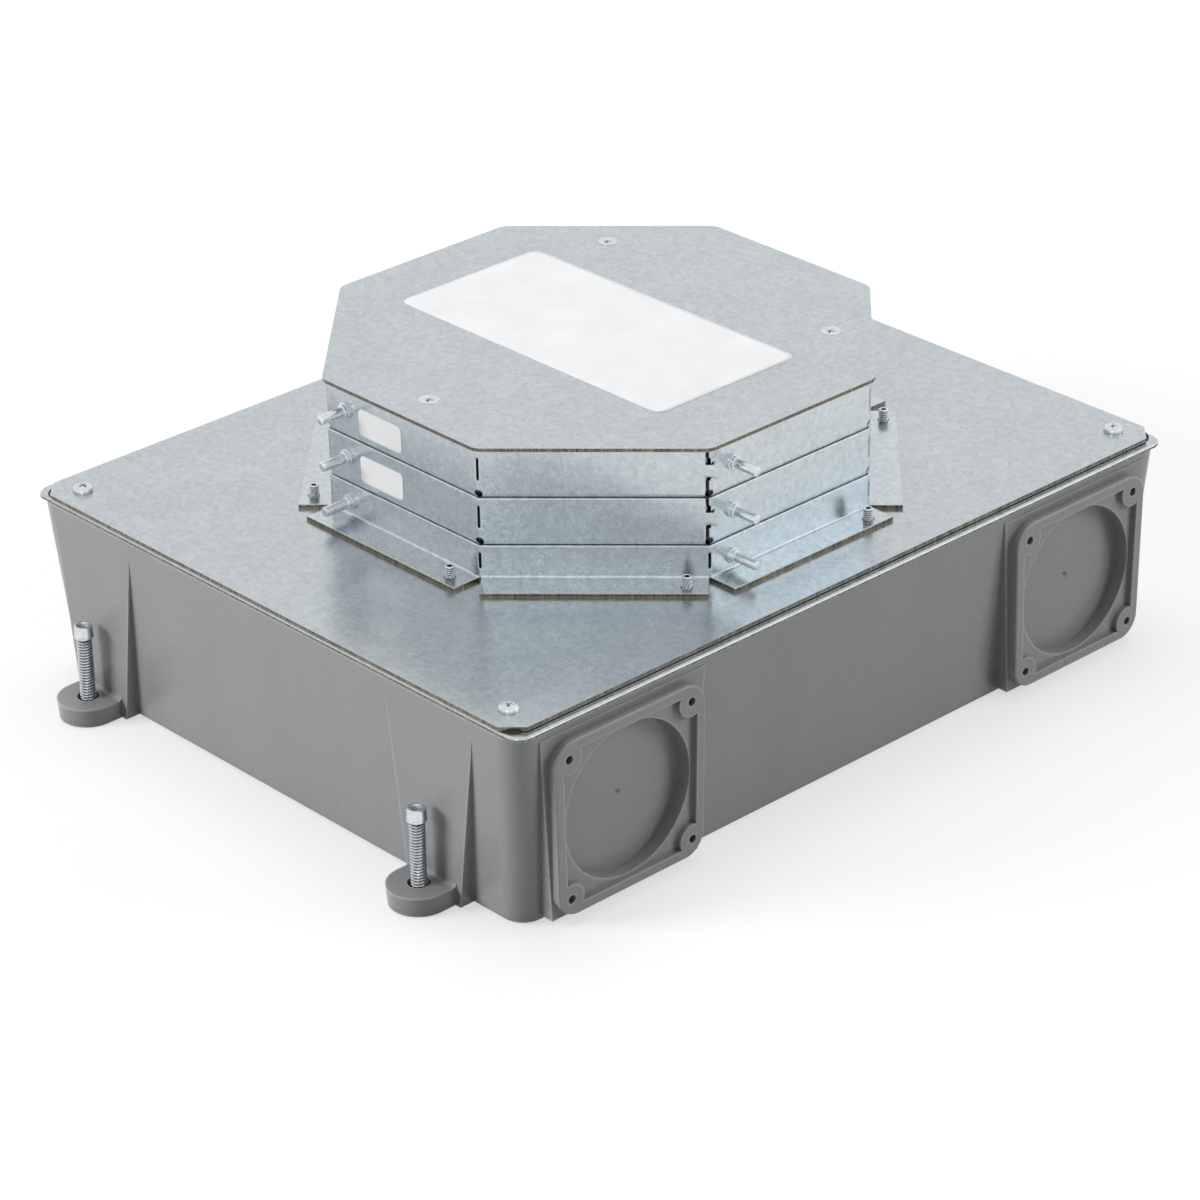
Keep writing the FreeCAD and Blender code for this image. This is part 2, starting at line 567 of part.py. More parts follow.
def mounting_frame():
    """Steel frame with rolled long edges and a bent-down earthing tab inside its opening."""
    sheet = plate(rectangle(FRAME_LENGTH, FRAME_WIDTH), FRAME_BOTTOM, FRAME_TOP, FRAME_CORNER_RADIUS)
    rolled = [edge for edge in edges_at(sheet, "Z", FRAME_TOP) if abs(edge.CenterOfMass.x) < SAME_PLACE]
    sheet = sheet.makeFillet(FRAME_EDGE_RADIUS, rolled)
    opening = rectangle(FRAME_LENGTH - 2 * FRAME_BORDER, FRAME_WIDTH - 2 * FRAME_BORDER)
    sheet = sheet.cut(plate(opening, FRAME_BOTTOM - CUT_MARGIN, FRAME_TOP + CUT_MARGIN, FRAME_OPENING_RADIUS))
    inner_x = frame_opening_half_length()
    tab = block(
        (inner_x - FRAME_THICKNESS, inner_x),
        (EARTH_TAB_Y - EARTH_TAB_WIDTH / 2, EARTH_TAB_Y + EARTH_TAB_WIDTH / 2),
        (FRAME_TOP - EARTH_TAB_DROP, FRAME_TOP),
    )
    sheet = sheet.fuse(tab)
    earth_hole = cylinder(
        EARTH_SCREW_DIAMETER + 2 * INSERT_GAP,
        point(inner_x - FRAME_THICKNESS - CUT_MARGIN, EARTH_TAB_Y, FRAME_BOTTOM - EARTH_SCREW_DROP),
        X_AXIS,
        FRAME_THICKNESS + 2 * CUT_MARGIN,
    )
    holes = screw_holes(COVER_SCREW_DIAMETER + 2 * SCREW_HOLE_CLEARANCE, FRAME_BOTTOM, FRAME_TOP)
    return sheet.cut(holes + [earth_hole]).removeSplitter()


def mitred_rectangle(length, width, cut):
    """Corners of a centred rectangle whose own corners are cut off, counter-clockwise."""
    corners = []
    for sx, sy in ((-1, -1), (1, -1), (1, 1), (-1, 1)):
        end_along_x = point(sx * (length / 2 - cut), sy * width / 2)
        end_along_y = point(sx * length / 2, sy * (width / 2 - cut))
        corners += [end_along_y, end_along_x] if sx == sy else [end_along_x, end_along_y]
    return corners


def cover_plate():
    """Steel cover with mitred corners and the octagonal throat."""
    sheet = plate(mitred_rectangle(COVER_LENGTH, COVER_WIDTH, COVER_CORNER_CUT), COVER_BOTTOM, COVER_TOP)
    throat = plate(octagon(RING_HALF - THROAT_LEDGE), COVER_BOTTOM - CUT_MARGIN, COVER_TOP + CUT_MARGIN)
    holes = screw_holes(COVER_SCREW_DIAMETER + 2 * SCREW_HOLE_CLEARANCE, COVER_BOTTOM, COVER_TOP)
    return sheet.cut([throat] + holes).removeSplitter()


# ---- fasteners --------------------------------------------------------------------------------
def pan_head_screw(x, y, z_seat):
    """Pan-head machine screw with its head seated at the given height."""
    rim = point(PAN_HEAD_DIAMETER / 2, 0, PAN_HEAD_RIM)
    crown = point(PAN_HEAD_FLAT_RADIUS, 0, PAN_HEAD_HEIGHT)
    chord = crown - rim
    outward = point(chord.z, 0, -chord.x).normalize()
    bulge = (rim + crown) * 0.5 + outward * PAN_HEAD_BULGE
    edge = point(rim.x, 0, 0)
    middle = point(0, 0, PAN_HEAD_HEIGHT)
    profile = [
        Part.LineSegment(ORIGIN, edge).toShape(),
        Part.LineSegment(edge, rim).toShape(),
        Part.Arc(rim, bulge, crown).toShape(),
        Part.LineSegment(crown, middle).toShape(),
        Part.LineSegment(middle, ORIGIN).toShape(),
    ]
    head = Part.Face(Part.Wire(profile)).revolve(ORIGIN, Z_AXIS, 360)
    shank = cylinder(COVER_SCREW_DIAMETER, point(0, 0, -COVER_SCREW_LENGTH), Z_AXIS, COVER_SCREW_LENGTH)
    screw = head.fuse(shank).cut(cross_recess(0, 0, PAN_HEAD_HEIGHT))
    screw.translate(point(x, y, z_seat))
    return screw.removeSplitter()


def cover_screws():
    return Part.makeCompound(
        [pan_head_screw(x, y, COVER_TOP) for x, y in mirrored_pairs(COVER_SCREW_X, COVER_SCREW_Y)]
    )


def insert(diameter, bore, x, y, z_low, z_high):
    """Plain threaded insert, shown by its bore."""
    return rod(diameter, x, y, z_low, z_high).cut(rod(bore, x, y, z_low - CUT_MARGIN, z_high + CUT_MARGIN))


def cover_inserts():
    bore = COVER_SCREW_DIAMETER + 2 * THREAD_CLEARANCE
    return Part.makeCompound(
        [
            insert(COVER_INSERT_DIAMETER, bore, x, y, BOX_HEIGHT - COVER_INSERT_LENGTH, BOX_HEIGHT)
            for x, y in mirrored_pairs(COVER_SCREW_X, COVER_SCREW_Y)
        ]
    )


def levelling_inserts():
    diameter = FOOT_HOLE_DIAMETER - 2 * INSERT_GAP
    bore = LEVELLING_SCREW_DIAMETER + 2 * THREAD_CLEARANCE
    top = FOOT_LEDGE_HEIGHT + LEVELLING_INSERT_LENGTH
    return Part.makeCompound(
        [
            turned(insert(diameter, bore, -FOOT_X, y, FOOT_LEDGE_HEIGHT, top), turn)
            for turn, y in foot_places()
        ]
    )


def levelling_screw(turn, y):
    """Hex-headed levelling screw standing in its foot."""
    seat = LEVELLING_SCREW_TIP_Z + LEVELLING_SCREW_LENGTH
    shank = rod(LEVELLING_SCREW_DIAMETER, 0, 0, LEVELLING_SCREW_TIP_Z, seat)
    shank = shank.makeChamfer(LEVELLING_TIP_CHAMFER, edges_at(shank, "Z", LEVELLING_SCREW_TIP_Z))
    collar_diameter = LEVELLING_SCREW_DIAMETER + LEVELLING_COLLAR_EXTRA
    collar = rod(collar_diameter, 0, 0, seat, seat + LEVELLING_COLLAR_HEIGHT)
    top = seat + LEVELLING_COLLAR_HEIGHT + LEVELLING_HEAD_HEIGHT
    head = plate(hexagon(LEVELLING_HEAD_FLATS), seat, top)
    recess = rod(LEVELLING_RECESS_DIAMETER, 0, 0, top - LEVELLING_RECESS_DEPTH, top + CUT_MARGIN)
    screw = fused([shank, collar, head]).cut(recess)
    screw.translate(point(-FOOT_X, y, 0))
    return turned(screw, turn)


def set_screw(x, y):
    """Socket set screw standing on the cover."""
    top = COVER_TOP + SET_SCREW_LENGTH
    body = rod(SET_SCREW_DIAMETER, x, y, COVER_TOP, top)
    socket = plate(hexagon(SET_SCREW_SOCKET_FLATS), top - SET_SCREW_SOCKET_DEPTH, top + CUT_MARGIN)
    socket.translate(point(x, y, 0))
    return body.cut(socket)


def adjusting_screws():
    place = set_screw(RING_HALF + SET_SCREW_OUT, SET_SCREW_OFFSET)
    return Part.makeCompound([turned(place, angle) for angle in WALL_ANGLES])


# ---- riser rings ------------------------------------------------------------------------------
def corner_slots(z_top, drop, length):
    """Upright relief slots through the ring's corners."""
    slot = block(
        (RING_CORNER - 3 * RING_SHEET, RING_CORNER + CUT_MARGIN),
        (-CORNER_SLOT_WIDTH / 2, CORNER_SLOT_WIDTH / 2),
        (z_top - drop - length, z_top - drop),
    )
    return [turned(slot, angle) for angle in CORNER_ANGLES]


def ear(z_top):
    """Inward ear at a wall's top edge, built on the +X wall."""
    inner = RING_HALF - RING_FLANGE_WIDTH
    strip = rectangle(RING_HALF - RING_SHEET / 2 - inner, EAR_WIDTH)
    shape = plate(strip, z_top - RING_SHEET, z_top)
    shape.translate(point((RING_HALF - RING_SHEET / 2 + inner) / 2, 0, 0))
    inner_edges = [edge for edge in edges_at(shape, "X", inner) if edge.BoundBox.ZLength > RING_SHEET / 2]
    return shape.makeFillet(EAR_CORNER_RADIUS, inner_edges)


def ears(z_top):
    return [turned(ear(z_top), angle) for angle in EAR_ANGLES]


def bolt_holes(z_low, z_high):
    """Clearance holes for the long cover screws."""
    diameter = FLAT_SCREW_DIAMETER + 2 * SCREW_HOLE_CLEARANCE
    hole = rod(diameter, COVER_BOLT_RADIUS, 0, z_low - CUT_MARGIN, z_high + CUT_MARGIN)
    return [turned(hole, angle) for angle in EAR_ANGLES]


def stud_holes(z):
    hole = cylinder(
        STUD_DIAMETER + 2 * INSERT_GAP,
        point(RING_HALF - 2 * RING_SHEET, STUD_OFFSET, z),
        X_AXIS,
        3 * RING_SHEET,
    )
    return [turned(hole, angle) for angle in STUD_WALLS]


def ring_studs(z):
    """Shouldered studs riveted through four of a ring's walls."""
    inside = point(RING_HALF - RING_SHEET - STUD_HEAD_LENGTH, STUD_OFFSET, z)
    face = point(RING_HALF, STUD_OFFSET, z)
    length = STUD_HEAD_LENGTH + RING_SHEET + STUD_LENGTH
    pin = cylinder(STUD_DIAMETER, inside, X_AXIS, length)
    stud = fused(
        [
            pin,
            cylinder(STUD_HEAD_DIAMETER, inside, X_AXIS, STUD_HEAD_LENGTH),
            cylinder(STUD_COLLAR_DIAMETER, face, X_AXIS, STUD_COLLAR_LENGTH),
            cylinder(STUD_RING_DIAMETER, face, X_AXIS, STUD_COLLAR_LENGTH + STUD_RING_LENGTH),
        ]
    )
    return Part.makeCompound([turned(stud, angle) for angle in STUD_WALLS])


def seam_cut(z_low, z_top):
    """Open seam before the notched wall, with the notch that the locking tab passes."""
    start = -RING_EDGE_HALF
    reach = (RING_HALF - 2 * RING_SHEET, RING_HALF + CUT_MARGIN)
    gap = block(reach, (start - SEAM_GAP, start), (z_low - CUT_MARGIN, z_top + CUT_MARGIN))
    middle = z_top - SEAM_TAB_DROP
    half = SEAM_TAB_NECK / 2 + SEAM_NOTCH_CLEARANCE
    notch = block(reach, (start - SEAM_GAP, start + 2 * RING_SHEET), (middle - half, middle + half))
    return turned(gap.fuse(notch), SEAM_ANGLE)


def seam_tab(z_top):
    """Locking tab that runs straight on from the wall before the seam."""
    end = RING_EDGE_HALF + SEAM_TAB_REACH
    reach = (RING_HALF - RING_SHEET, RING_HALF)
    middle = z_top - SEAM_TAB_DROP
    neck_range = (middle - SEAM_TAB_NECK / 2, middle + SEAM_TAB_NECK / 2)
    neck = block(reach, (RING_EDGE_HALF - 2 * RING_SHEET, end), neck_range)
    head = block(
        reach, (end - SEAM_TAB_HEAD_LENGTH, end), (middle - SEAM_TAB_HEAD / 2, middle + SEAM_TAB_HEAD / 2)
    )
    return turned(neck.fuse(head), SEAM_ANGLE - 45)


def spacer_ring(z_low):
    """Octagonal ring with an inward bottom flange, relief slots, ears and a hooked seam."""
    z_top = z_low + SPACER_RING_HEIGHT
    prism = plate(octagon(RING_HALF), z_low, z_top)
    prism = prism.makeFillet(RING_BEND_RADIUS, edges_at(prism, "Z", z_low))
    hollow = plate(octagon(RING_HALF - RING_SHEET), z_low + RING_SHEET, z_top + CUT_MARGIN)
    opening = octagon(RING_HALF - RING_FLANGE_WIDTH)
    opening = plate(opening, z_low - CUT_MARGIN, z_low + RING_SHEET + CUT_MARGIN)
    ring = fused([prism.cut([hollow, opening])] + ears(z_top))
    opening_corner = (RING_HALF - RING_FLANGE_WIDTH) / math.cos(math.radians(22.5))
    slit = block(
        (opening_corner - CUT_MARGIN, RING_CORNER + CUT_MARGIN),
        (-FLANGE_SLIT_WIDTH / 2, FLANGE_SLIT_WIDTH / 2),
        (z_low - CUT_MARGIN, z_low + RING_SHEET),
    )
    relief = cylinder(
        CORNER_RELIEF_DIAMETER,
        point(RING_CORNER - 2 * CORNER_RELIEF_DIAMETER, 0, z_low + CORNER_RELIEF_DIAMETER / 2),
        X_AXIS,
        2 * CORNER_RELIEF_DIAMETER + CUT_MARGIN,
    )
    corner_cut = slit.fuse(relief)
    cuts = [turned(corner_cut, angle) for angle in CORNER_ANGLES]
    cuts += corner_slots(z_top, CORNER_SLOT_TOP, SPACER_SLOT_LENGTH)
    cuts += bolt_holes(z_low, z_top)
    cuts += stud_holes(z_top - STUD_DROP)
    cuts.append(seam_cut(z_low, z_top))
    return ring.cut(cuts).fuse(seam_tab(z_top)).removeSplitter()


def base_ring():
    """Bottom ring of the riser, with an outward flange tab on each wall."""
    prism = plate(octagon(RING_HALF), COVER_TOP, BASE_RING_TOP)
    hollow = plate(octagon(RING_HALF - RING_SHEET), COVER_TOP - CUT_MARGIN, BASE_RING_TOP + CUT_MARGIN)
    tab = block(
        (RING_HALF - RING_SHEET / 2, RING_HALF + BASE_FLANGE_WIDTH),
        (-BASE_TAB_HALF, BASE_TAB_HALF),
        (COVER_TOP, COVER_TOP + RING_SHEET),
    )
    bend = block(
        (RING_HALF - RING_SHEET / 2, RING_HALF + BASE_BEND_RADIUS),
        (-BASE_TAB_HALF, BASE_TAB_HALF),
        (COVER_TOP, COVER_TOP + RING_SHEET + BASE_BEND_RADIUS),
    )
    hollow_bend = cylinder(
        2 * BASE_BEND_RADIUS,
        point(RING_HALF + BASE_BEND_RADIUS, -RING_HALF, COVER_TOP + RING_SHEET + BASE_BEND_RADIUS),
        Y_AXIS,
        2 * RING_HALF,
    )
    tab = tab.fuse(bend.cut(hollow_bend)).removeSplitter()
    set_hole = rod(
        SET_SCREW_DIAMETER + 2 * THREAD_CLEARANCE,
        RING_HALF + SET_SCREW_OUT,
        SET_SCREW_OFFSET,
        COVER_TOP - CUT_MARGIN,
        COVER_TOP + RING_SHEET + CUT_MARGIN,
    )
    tab = tab.cut(set_hole)
    walls = [turned(tab, angle) for angle in WALL_ANGLES]
    ring = fused([prism.cut(hollow)] + walls + ears(BASE_RING_TOP))
    cuts = corner_slots(BASE_RING_TOP, BASE_SLOT_TOP, BASE_SLOT_LENGTH)
    cuts += bolt_holes(BASE_RING_TOP - RING_SHEET, BASE_RING_TOP)
    cuts += stud_holes(BASE_RING_TOP - BASE_STUD_DROP)
    return ring.cut(cuts).removeSplitter()


def clinch_nuts():
    """Nuts pressed under the base ring's ears, which the long cover screws enter."""
    top = BASE_RING_TOP - RING_SHEET
    nut = plate(hexagon(CLINCH_NUT_FLATS), top - CLINCH_NUT_HEIGHT, top)
    bore_diameter = FLAT_SCREW_DIAMETER + 2 * THREAD_CLEARANCE
    bore = rod(bore_diameter, 0, 0, top - 2 * CLINCH_NUT_HEIGHT, top + CUT_MARGIN)
    nut = nut.cut(bore)
    nut.translate(point(COVER_BOLT_RADIUS, 0, 0))
    return Part.makeCompound([turned(nut, angle) for angle in EAR_ANGLES])


# ---- temporary cover --------------------------------------------------------------------------
def flat_head_cone(z_top, grow=0.0):
    """Countersunk head under a straight rim, grown all round by the given gap."""
    radius = FLAT_HEAD_DIAMETER / 2 + grow
    shank = FLAT_SCREW_DIAMETER / 2 + grow
    cone_top = z_top - FLAT_HEAD_RIM
    depth = min(radius - shank, TEMPORARY_COVER_THICKNESS - FLAT_HEAD_RIM)
    cone = Part.makeCone(radius - depth, radius, depth, point(COVER_BOLT_RADIUS, 0, cone_top - depth))
    return cone.fuse(rod(2 * radius, COVER_BOLT_RADIUS, 0, cone_top, z_top + grow))


def temporary_cover():
    corners = octagon(RING_HALF + TEMPORARY_COVER_OVERHANG)
    top = TOP_RING_TOP + TEMPORARY_COVER_THICKNESS
    sheet = plate(corners, TOP_RING_TOP, top, TEMPORARY_COVER_CORNER_RADIUS)
    sink = flat_head_cone(top + FLAT_HEAD_PROUD, INSERT_GAP).fuse(
        rod(FLAT_HEAD_DIAMETER + 2 * INSERT_GAP, COVER_BOLT_RADIUS, 0, top - FLAT_HEAD_RIM, top + CUT_MARGIN)
    )
    holes = [turned(sink, angle) for angle in EAR_ANGLES]
    return sheet.cut(holes + bolt_holes(TOP_RING_TOP, TOP_RING_TOP)).removeSplitter()


def temporary_cover_screws():
    """Long countersunk screws that clamp the cover and the spacer rings to the base ring."""
    top = TOP_RING_TOP + TEMPORARY_COVER_THICKNESS + FLAT_HEAD_PROUD
    tip = BASE_RING_TOP - RING_SHEET - CLINCH_NUT_HEIGHT - FLAT_SCREW_REACH
    shank = rod(FLAT_SCREW_DIAMETER, COVER_BOLT_RADIUS, 0, tip, top - FLAT_HEAD_RIM)
    screw = flat_head_cone(top).fuse(shank)
    screw = screw.cut(cross_recess(COVER_BOLT_RADIUS, 0, top)).removeSplitter()
    return Part.makeCompound([turned(screw, angle) for angle in EAR_ANGLES])


# ---- partition and earthing -------------------------------------------------------------------
def partition():
    """Steel partition in the guide ribs, with a stiffening flange and a finger slot."""
    half = inner_half_width(BOX_FLOOR) - PARTITION_SIDE_CLEARANCE
    top = BOX_FLOOR + PARTITION_HEIGHT
    inner_half = half - GUIDE_RIB_DEPTH - PARTITION_SIDE_CLEARANCE
    panel = block((-PARTITION_THICKNESS / 2, PARTITION_THICKNESS / 2), (-half, half), (BOX_FLOOR, top))
    flange = block(
        (-PARTITION_THICKNESS / 2, PARTITION_TOP_FLANGE),
        (-inner_half, inner_half),
        (top - PARTITION_THICKNESS, top),
    )
    grip = rectangle(PARTITION_GRIP_HEIGHT, PARTITION_GRIP_LENGTH)
    slot = plate(grip, -CUT_MARGIN, 2 * CUT_MARGIN, PARTITION_GRIP_HEIGHT / 2 - ROUND_END_EASE)
    slot.rotate(ORIGIN, Y_AXIS, 90)
    slot.translate(point(-CUT_MARGIN / 2, 0, top - PARTITION_GRIP_DROP))
    return panel.fuse(flange).cut(slot).removeSplitter()


def earth_screw():
    """Earthing screw through the frame's bent-down tab."""
    x = frame_opening_half_length() - FRAME_THICKNESS
    z = FRAME_BOTTOM - EARTH_SCREW_DROP
    start = point(x - EARTH_COLLAR_HEIGHT, EARTH_TAB_Y, z)
    collar = cylinder(EARTH_COLLAR_DIAMETER, start, X_AXIS, EARTH_COLLAR_HEIGHT)
    shank = cylinder(EARTH_SCREW_DIAMETER, start, X_AXIS, EARTH_COLLAR_HEIGHT + EARTH_SCREW_LENGTH)
    head = plate(hexagon(EARTH_HEAD_FLATS), 0, EARTH_HEAD_HEIGHT)
    head.rotate(ORIGIN, Y_AXIS, -90)
    head.translate(start)
    return fused([collar, shank, head])


# ---- assembly ---------------------------------------------------------------------------------
def nodes():
    """Every named piece with its shape."""
    pieces = {
        "pvc_box": pvc_box(),
        "rim_seal": rim_seal(),
        "mounting_frame": mounting_frame(),
        "cover_seal": cover_seal(),
        "cover_plate": cover_plate(),
        "cover_screws": cover_screws(),
        "cover_inserts": cover_inserts(),
        "levelling_inserts": levelling_inserts(),
        "partition_panel": partition(),
        "earth_screw": earth_screw(),
        "adjusting_screws": adjusting_screws(),
        "base_ring": base_ring(),
        "base_ring_studs": ring_studs(BASE_RING_TOP - BASE_STUD_DROP),
        "ring_clinch_nuts": clinch_nuts(),
        "middle_ring": spacer_ring(BASE_RING_TOP),
        "middle_ring_studs": ring_studs(MIDDLE_RING_TOP - STUD_DROP),
        "top_ring": spacer_ring(MIDDLE_RING_TOP),
        "top_ring_studs": ring_studs(TOP_RING_TOP - STUD_DROP),
        "temporary_cover": temporary_cover(),
        "temporary_cover_screws": temporary_cover_screws(),
    }
    sides = ("left_front", "left_rear", "right_rear", "right_front")
    for side, (turn, y) in zip(sides, foot_places()):
        pieces["levelling_screw_" + side] = levelling_screw(turn, y)
    return pieces


def main():
    os.makedirs("parts", exist_ok=True)
    for name, shape in nodes().items():
        shape.exportStep("parts/" + name + ".step")
        print(name, "solids", len(shape.Solids), "volume", round(shape.Volume, 1), "valid", shape.isValid())


main()
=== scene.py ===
"""Looks of a cast-in floor socket box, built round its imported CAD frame.

The file is laid out as an add-on. Property groups hold the sizes and colours, each operator makes or
finishes one piece or one group of like pieces, and main() calls the operators in order. Everything is in
metres, in the frame's own axes: X along the walls with the hub flanges, Y along the walls with the feet.
"""

import math

import bpy
import numpy as np
from mathutils import Matrix, Vector


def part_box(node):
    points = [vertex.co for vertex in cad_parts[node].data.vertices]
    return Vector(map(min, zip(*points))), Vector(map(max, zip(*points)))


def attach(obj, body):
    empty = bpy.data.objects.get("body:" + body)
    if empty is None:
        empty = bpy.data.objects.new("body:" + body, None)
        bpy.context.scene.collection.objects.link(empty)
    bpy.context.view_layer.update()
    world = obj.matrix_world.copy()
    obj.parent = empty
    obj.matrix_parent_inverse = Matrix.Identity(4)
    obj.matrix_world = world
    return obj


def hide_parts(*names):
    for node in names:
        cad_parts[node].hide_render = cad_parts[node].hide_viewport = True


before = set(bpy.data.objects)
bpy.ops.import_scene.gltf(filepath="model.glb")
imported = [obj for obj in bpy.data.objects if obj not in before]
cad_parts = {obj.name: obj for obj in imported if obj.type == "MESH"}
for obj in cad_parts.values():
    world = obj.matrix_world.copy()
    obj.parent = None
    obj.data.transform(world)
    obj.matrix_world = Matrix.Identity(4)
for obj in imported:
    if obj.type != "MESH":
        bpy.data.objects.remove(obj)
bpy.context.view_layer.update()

bl_info = {
    "name": "Floor socket box finishes",
    "version": (1, 0, 0),
    "blender": (4, 5, 0),
    "location": "3D View > Sidebar > Floor Box",
    "description": "Finishes, threaded fasteners, bare labels and a stage for a cast-in floor socket box",
    "category": "Object",
}

MM = 0.001
SHARP_ANGLE = math.radians(32)
TURN = 2 * math.pi

# Angles of the riser's walls that carry studs, of all its walls, and of the ears under the lid's screws.
STUD_WALLS = (0, 90, 180, 270)
ALL_WALLS = range(0, 360, 45)
EAR_WALLS = (45, 180, 315)
LEVELLING_SCREWS = ("left_front", "left_rear", "right_rear", "right_front")

THREAD_DEPTH = 0.58         # depth of a thread over its pitch
RING_SHEET = 1.6 * MM       # thickness of the base ring's tabs, which lie on the cover
RING_TONE = 1.12            # the rings are brighter zinc than the cover and the frame
UPRIGHT = 0.3               # a steel face whose normal rises less than this is a sheared edge
SHADING_SAMPLES = 6         # rays of the nodes that find corners and hollows

WHITE = (1.0, 1.0, 1.0, 1.0)
BLACK = (0.0, 0.0, 0.0, 1.0)
CARD_WHITE = (0.94, 0.98, 1.0, 1.0)
PVC_SPECK = (0.10, 0.10, 0.105, 1.0)
EARTH_WORN = (0.40, 0.50, 0.40, 1.0)

# The camera's place, and its heading from +Y towards +X, tilt down and roll in degrees.
CAMERA_PLACE = (-1.0876, -1.1682, 0.8592)
CAMERA_ANGLES = (42.57, 27.594, -1.03)
SENSOR_WIDTH = 36.0         # millimetres

# Each lamp's place, target and size. The stage setting of the same name gives its watts.
LAMPS = {
    "key": ((-1.95, 1.1, 0.95), (0, 0, 0.06), (0.9, 0.9)),
    "top": ((0.3, 0.4, 2.3), (0, 0, 0.06), (1.8, 1.8)),
    "side": ((1.6, -1.75, 1.15), (0, 0, 0.1), (1.2, 1.0)),
}
# Each card's heading and tilt in degrees, distance and size. The stage setting of its name gives its level.
CARDS = {
    "dark_card": (227.4, 27.6, 2.5, (1.3, 0.7)),
    "bright_card": (312.0, 27.0, 2.4, (1.3, 0.8)),
    "strip_card": (211.0, 24.0, 2.3, (0.10, 1.0)),
}
# The floor's glow at its outer end, and the distances from the middle between which it grows.
FLOOR_GLOW_FAR = 0.92
FLOOR_GLOW_SPREAD = (0.35, 1.5)


# ---- settings a user would change ---------------------------------------------------------------
def length(name, description, millimetres):
    """Length property with its default given in millimetres."""
    return bpy.props.FloatProperty(
        name=name, description=description, default=millimetres * MM, unit="LENGTH", min=0.0, precision=5
    )


def colour(name, description, value):
    """Linear colour property."""
    return bpy.props.FloatVectorProperty(
        name=name, description=description, default=value, subtype="COLOR", size=3, min=0.0, max=1.0
    )


def number(name, description, value, low=0.0, high=1000.0):
    """Plain number property."""
    return bpy.props.FloatProperty(name=name, description=description, default=value, min=low, max=high)


class FLOORBOX_PG_colours(bpy.types.PropertyGroup):
    """Colours of the finishes, as linear values."""

    pvc_light: colour("PVC, light", "Moulded PVC where the mix is palest", (0.318, 0.322, 0.328))
    pvc_dark: colour("PVC, dark", "Moulded PVC where the mix is darkest", (0.290, 0.294, 0.301))
    steel_light: colour("Galvanised steel, light", "Brightest zinc crystals", (0.64, 0.69, 0.71))
    steel_dark: colour("Galvanised steel, dark", "Dullest zinc crystals", (0.38, 0.415, 0.44))
    cut_edge: colour("Cut edge", "Sheared edge of a cover or the frame", (0.07, 0.07, 0.068))
    tab_edge: colour("Tab edge", "Sheared edge of the base ring's tabs", (0.065, 0.055, 0.04))
    # Painted highlight along the sheets' outer edges.
    steel_edge_highlight: colour("Steel edge", "Bright line where a sheet's face meets its edge", (0.80, 0.81, 0.80))
    # Painted highlight along the moulding's outer corners.
    pvc_edge_highlight: colour("PVC edge", "Polished outer corners of the moulding", (0.52, 0.52, 0.53))
    # Painted shade in the moulding's inner corners and holes.
    pvc_hollow_shade: colour("PVC hollow", "Inner corners and holes of the moulding", (0.11, 0.112, 0.116))
    edge_shine: colour("Edge shine", "Bright streaks in a sheared edge", (0.36, 0.31, 0.22))
    zinc_light: colour("Zinc plate, light", "Plated fastener, bright", (0.84, 0.87, 0.89))
    zinc_dark: colour("Zinc plate, dark", "Plated fastener, dull", (0.50, 0.54, 0.58))
    # Painted shade at the bottom of threads, driver recesses and sockets.
    groove_shade: colour("Grime", "Bottom of threads and driver recesses", (0.10, 0.11, 0.12))
    brass: colour("Brass", "Threaded inserts", (0.62, 0.45, 0.20))
    seal: colour("Seal", "Foam seals", (0.018, 0.018, 0.019))
    label: colour("Label", "Blank paper labels", (0.87, 0.875, 0.885))
    earth: colour("Earth screw", "Green passivated screw", (0.07, 0.26, 0.11))


